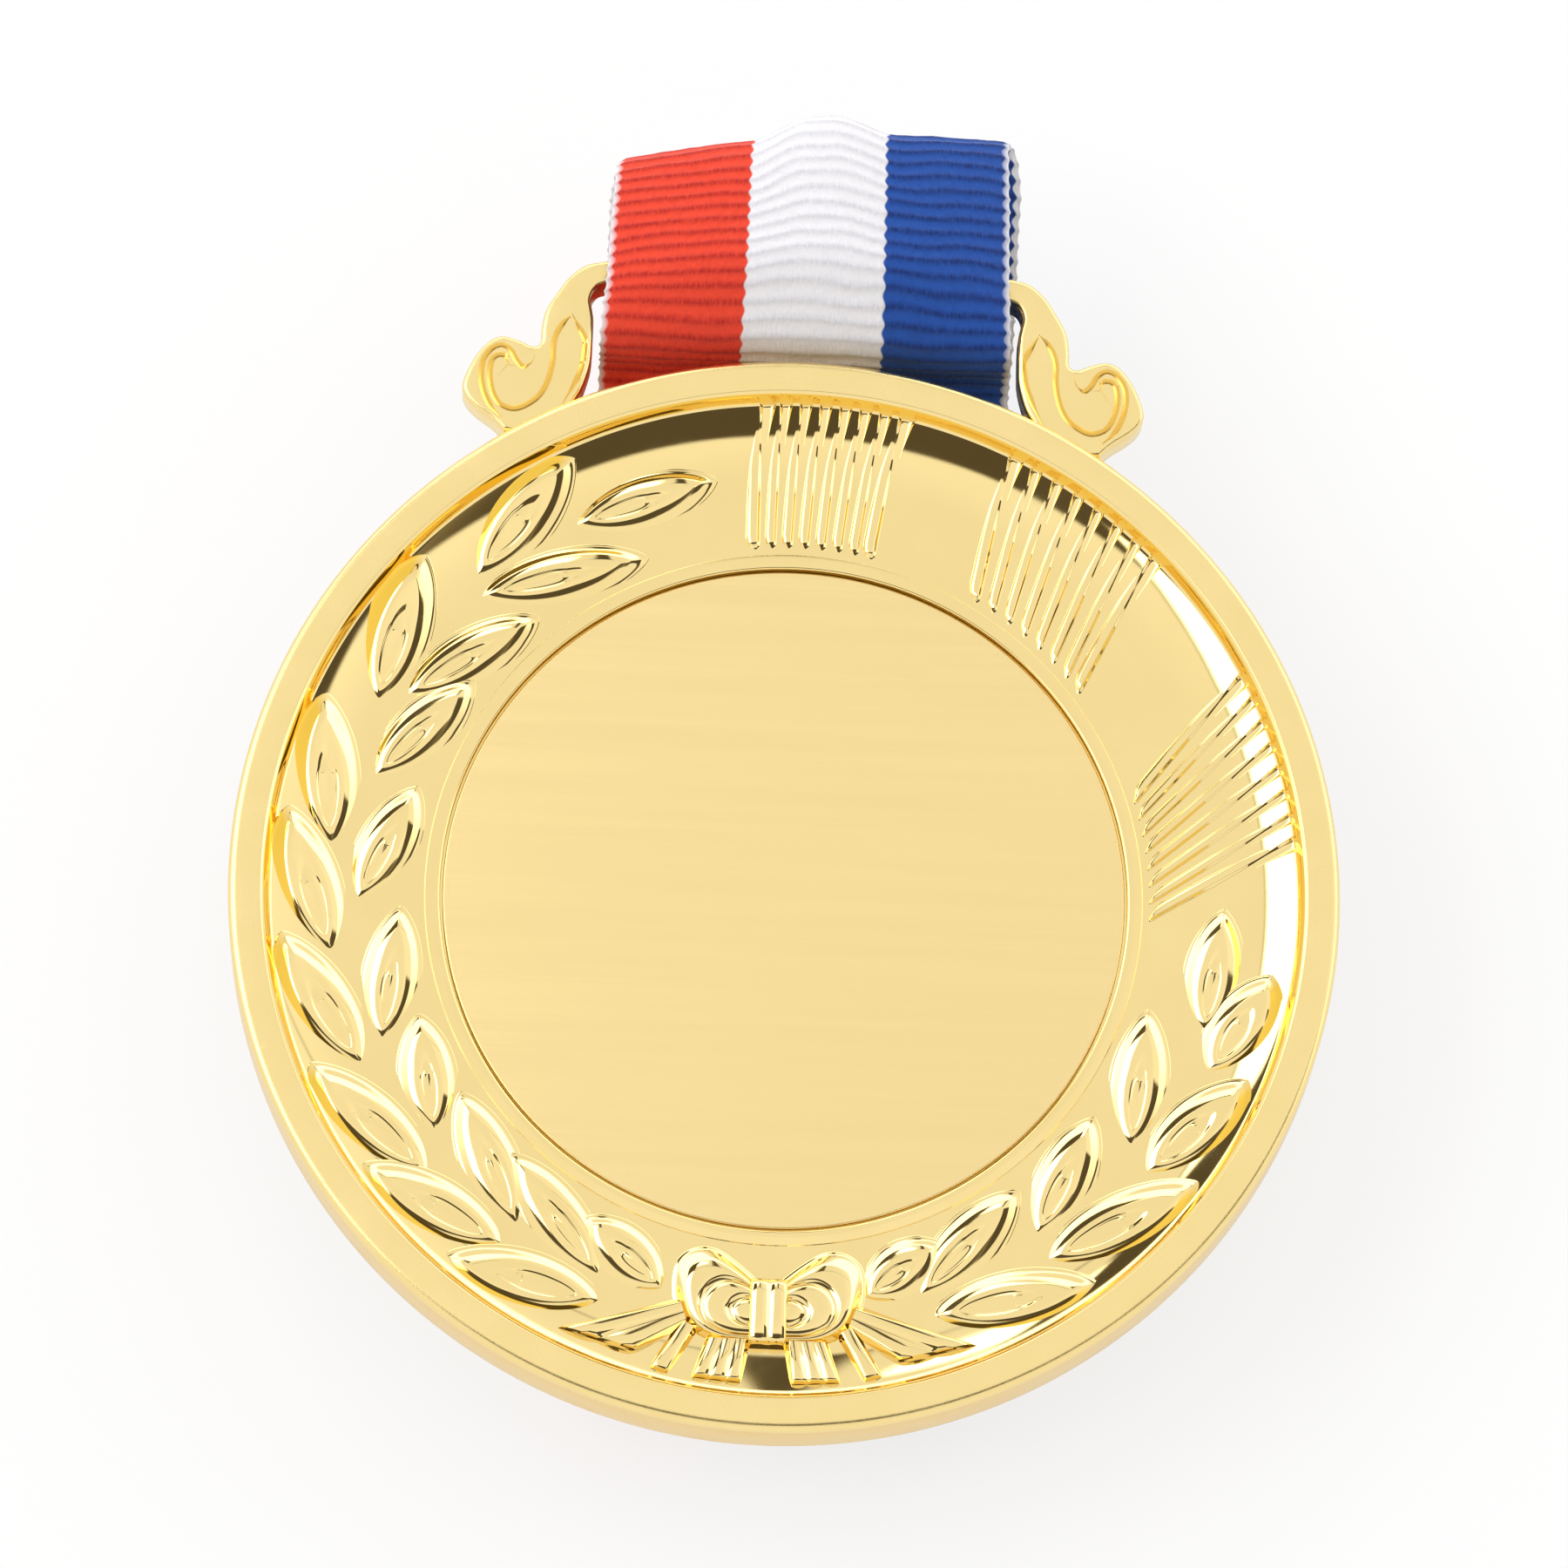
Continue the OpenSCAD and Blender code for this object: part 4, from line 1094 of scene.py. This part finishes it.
top_z = layer_z(pleats - 1)
hank_path = [(hank_front, top_z)]
for k in range(pleats - 1, 0, -1):
    half, middle = (layer_z(k) - layer_z(k - 1)) / 2, (layer_z(k) + layer_z(k - 1)) / 2
    fold_y, fold_end = (hank_back, 270) if k % 2 == 1 else (hank_front, -90)
    for a in np.radians(np.linspace(90, fold_end, fold_steps)):
        hank_path.append((fold_y + half * math.cos(a), middle + half * math.sin(a)))
hank_path.append((hank_front, layer_z(0)))
loop_path = smooth_line([
    (hank_front, top_z), (disc_r - 0.2, top_z), (disc_r + 0.6, disc_z + 0.3), (disc_r + 0.85, bar_z),
    (disc_r + 1.7, over_z - 0.75), (bar_y0 - 1.2, over_z - 0.12), (bar_y, over_z),
    (crest_y - 0.5 * loop_reach, over_z - 0.4), (crest_y - 1, bar_z + 0.8), (crest_y, bar_z - 0.7),
    (crest_y - 1.2, bar_z - 2.1), (bar_y + 0.35 * loop_reach, disc_z - 1.8), (bar_y - 1.2, 0.55 * disc_z),
    (disc_r + 1.8, 0.25 * disc_z), (disc_r + 0.9, ribbon_t / 2 + 0.9), (disc_r - 0.4, ribbon_t / 2 + 0.12),
    (hank_front, ribbon_t / 2)], 12)
lap_path = [(y, 1.5 * ribbon_t) for y in (-lap_l / 2, 0, lap_l / 2)]
# How the loop departs from a flat strip, as (places along it, millimetres there)
loop_marks = {
    "lift": ((0, 0.2, 0.38, 0.56, 0.72, 1), (0, 0, ribbon_bow, ribbon_bow, 0, 0)),
    "fold": ((0.3, 0.5, 0.58, 0.7), (0, 1, 1, 0)),
    "squeeze": ((0.25, 0.5, 0.56, 0.64), (0, -0.5, -0.5, 0.1)),
    "drift": ((0.5, 0.6, 0.75, 1), (0, 0.35, 0.35, 0)),
}


def path_length(path):
    """Length of a line of points."""
    return float(np.linalg.norm(np.diff(np.asarray(path), axis=0), axis=1).sum())


loop_l, hank_l = path_length(loop_path), path_length(hank_path)

# %% Tree that sweeps the ribbon
ripple_scale, waver_scale = 260.0, 220.0
rib_round = 0.7
# The crease at the loop's top: its middle across the strip, how far it spreads and its height
crease_middle, crease_in, crease_out, crease_h = 0.03, 0.05, 0.38, 2.1


def stored(geometry, label, value):
    """Geometry that carries a value at its points."""
    inputs = {"Geometry": geometry, "Name": label, "Value": value}
    return get(geometry.tree, "GeometryNodeStoreNamedAttribute", inputs, data_type="FLOAT", domain="POINT")


strip_inputs = ("Half width", "Start", "Rib pitch", "Rib height", "Fold rise", "Fold skew", "Ripple", "Waver")
tree, given, result = new_tree("grosgrain_strip", {
    "Section": "Object", "Finish": "Material", "Steps": "Int", **dict.fromkeys(strip_inputs, "Float")})
ribbon_tree = tree
path = get(tree, "GeometryNodeMeshToCurve", {"Mesh": given["Geometry"]})
path = get(tree, "GeometryNodeResampleCurve", {"Curve": path, "Count": given["Steps"]}, mode="COUNT")
path = stored(path, "along", get(tree, "GeometryNodeSplineParameter", pick="Length") + given["Start"])
section = get(tree, "GeometryNodeMeshToCurve", {"Mesh": shape_of(tree, given["Section"])})
strip = get(tree, "GeometryNodeCurveToMesh", {"Curve": path, "Profile Curve": section, "Fill Caps": True})
strip = stored(strip, "across", split(get(tree, "GeometryNodeInputPosition"))[0] / given["Half width"])
side, run = named(tree, "across"), named(tree, "along")
strip = stored(strip, "along", (noise(tree, waver_scale, 1.0) - 0.5) * given["Waver"] + run)
crease = abs(side - crease_middle).ramp(crease_in, crease_out, crease_h, 0)
strip = moved(strip, vector(
    tree,
    named(tree, "squeeze") * side + named(tree, "drift"),
    named(tree, "fold") * given["Fold rise"] * (side * given["Fold skew"] + crease),
    named(tree, "lift") * (1.0 - abs(side) ** 2.0)))
swell = abs((run / given["Rib pitch"] * math.pi).calc("SINE")) ** rib_round * given["Rib height"]
swell = swell + (noise(tree, ripple_scale, 2.0) - 0.5) * given["Ripple"]
normal = get(tree, "GeometryNodeInputNormal")
strip = moved(strip, get(tree, "ShaderNodeVectorMath", {0: normal, "Scale": swell}, operation="SCALE"))
dressed(strip, given["Finish"]).to(result)
print("tree", ribbon_tree.name, "with", len(ribbon_tree.nodes), "nodes")

# %% [markdown]
# ## Grosgrain cloth
# The stripes are woven in, so their borders step from rib to rib in small scallops, and both edges of
# the outer face carry a narrow white selvedge. Each rib is a bundle of weft under fine warp threads,
# which show as tiny ticks in the valleys. The valleys between the ribs also carry painted shade: each
# stripe takes a darker copy of its colour there. All of it reads the strip's own along and across values.

# %% Grosgrain finish
rib_pitch, rib_rise = 0.87, 0.13
red, white, blue = (0.83, 0.063, 0.027, 1), (0.82, 0.805, 0.83, 1), (0.014, 0.078, 0.37, 1)
# Darker copies of the stripe colours, painted into the valleys between the ribs as shade
red_painted_shade, white_painted_shade = (0.46, 0.018, 0.012, 1), (0.66, 0.65, 0.69, 1)
blue_painted_shade = (0.004, 0.023, 0.145, 1)
stripe_left, stripe_right, selvedge, stripe_edge = -0.31, 0.37, 0.968, 0.006
scallop, bead = 0.006, 0.008
threads_across, threads_along, fuzz_scale = 70.0, 1500.0, 2600.0
cloth_rough, cloth_sheen, cloth_gloss, cloth_depth, cloth_strength = 0.85, 0.15, 0.25, 0.12, 0.5
valley_sharp, thread_share, fuzz_share, fuzz_run, thread_run = 1.6, 0.6, 0.2, (0.3, 0.8), (0.3, 0.7)

grosgrain, tree, shader = new_finish("grosgrain")
shader["Roughness"].default_value = cloth_rough
shader["Sheen Weight"].default_value = cloth_sheen
shader["Specular IOR Level"].default_value = cloth_gloss
run, side = carried(tree, "along"), carried(tree, "across")
wave = (run * (2 * math.pi / (rib_pitch * MM))).calc("COSINE")


def beyond(value, limit):
    """1 where a place across the strip lies past a border."""
    return value.ramp(limit - stripe_edge, limit + stripe_edge)


in_red = 1.0 - beyond(side + wave * scallop, stripe_left)
in_blue = beyond(side - wave * scallop, stripe_right)
at_edge = beyond(wave * -bead + abs(side), selvedge) * carried(tree, "outer")


def striped(left, middle, right):
    """A colour for each stripe, with the middle one in both selvedges too."""
    return at_edge.tint(in_blue.tint(in_red.tint(middle, left), right), middle)


fuzz = noise(tree, fuzz_scale, 3.0, Vector=place_in(tree))
on_strip = vector(tree, side * threads_across, run * threads_along)
threads = noise(tree, 1.0, 3.0, Vector=on_strip, Roughness=0.7).ramp(*thread_run)
# Painted shade: the valleys between the ribs darken the stripes, broken up by the warp threads; the fuzz adds
# random tone
valley_shade = (wave * 0.5 + 0.5) ** valley_sharp
rib_shade_and_fuzz = valley_shade * (threads * thread_share + (1 - thread_share)) + fuzz.ramp(*fuzz_run) * fuzz_share
cloth = rib_shade_and_fuzz.tint(striped(red, white, blue), striped(red_painted_shade, white_painted_shade, blue_painted_shade))
cloth.to(shader["Base Color"])
emboss(shader, threads * 0.5 + fuzz, cloth_depth, cloth_strength)
print("grosgrain with", len(tree.nodes), "nodes")

# %% Ribbon
edge_power, ribbon_crease = 60, 70
fold_rise, fold_skew, ripple, waver = 0.6, 1.9, 0.12, 0.9


def strip_section(columns):
    """The closed section of the strip: flat, with rounded edges, and marked on its outer face."""
    across = np.linspace(-1, 1, columns + 1)
    thick = [ribbon_t / 2 * math.sqrt(max(0, 1 - abs(s) ** edge_power)) for s in across]
    half = np.column_stack([across * ribbon_w / 2, thick])
    line = np.vstack([half, half[::-1][1:-1] * (1, -1)])
    count = len(line)
    outer = (line[:, 1] > -ribbon_t / 4).astype(float)
    edges = [(k, (k + 1) % count) for k in range(count)]
    return line_object("ribbon_section", [(x, y, 0) for x, y in line], edges, {"outer": outer})


def ribbon_strip(path, columns, rib_steps, start, shaping):
    """A length of the ribbon along a path of (y, z) points."""
    share = np.linspace(0, 1, len(path))
    marks = {label: np.interp(share, *shaping.get(label, ((0, 1), (0, 0)))) * MM for label in loop_marks}
    edges = [(k, k + 1) for k in range(len(path) - 1)]
    source = line_object("ribbon_path", [(0, y, z) for y, z in path], edges, marks)
    section = strip_section(columns)
    made = grown(source, ribbon_tree, {
        "Section": section, "Finish": grosgrain, "Steps": int(path_length(path) / rib_pitch * rib_steps),
        "Half width": ribbon_w / 2 * MM, "Start": start * MM, "Rib pitch": rib_pitch * MM,
        "Rib height": rib_rise * MM, "Fold rise": fold_rise, "Fold skew": fold_skew, "Ripple": ripple * MM,
        "Waver": waver * MM})
    bpy.data.objects.remove(section)
    return made


ribbon = joined("neck_ribbon", [
    ribbon_strip(loop_path, columns=44, rib_steps=8, start=0, shaping=loop_marks),
    ribbon_strip(hank_path, columns=10, rib_steps=3, start=loop_l, shaping={}),
    ribbon_strip(lap_path, columns=10, rib_steps=3, start=0, shaping={})])
ribbon.data.shade_smooth()
ribbon.data.set_sharp_from_angle(angle=math.radians(ribbon_crease))
finish_piece(ribbon, grosgrain, "ribbon", ["ribbon_loop", "ribbon_hank"])

# %% [markdown]
# ## The hidden pieces
# The sewing thread of the ribbon's seam and the adhesive pad under the insert keep their solids. They
# still get a finish of their own: a soft twisted thread, and a dull grey foam.

# %% Thread and adhesive
speckle_run, speckle_depth, speckle_strength = (0.3, 0.7), 0.05, 0.4


def dress(node, name, light, dark, scale, roughness):
    """Gives a CAD node that still shows a matt finish that wavers between two colours."""
    finish, tree, shader = new_finish(name)
    speckle = noise(tree, scale, 3.0, Vector=place_in(tree))
    speckle.ramp(*speckle_run).tint(light, dark).to(shader["Base Color"])
    emboss(shader, speckle, speckle_depth, speckle_strength)
    shader["Roughness"].default_value = roughness
    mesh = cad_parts[node].data
    mesh.materials.clear()
    mesh.materials.append(finish)
    print(node, "has", finish.name)


dress("seam_stitching", "seam_thread", (0.85, 0.85, 0.85, 1), (0.7, 0.7, 0.72, 1), 6000.0, 0.8)
dress("insert_adhesive", "adhesive_foam", (0.6, 0.6, 0.58, 1), (0.45, 0.45, 0.43, 1), 3000.0, 0.9)
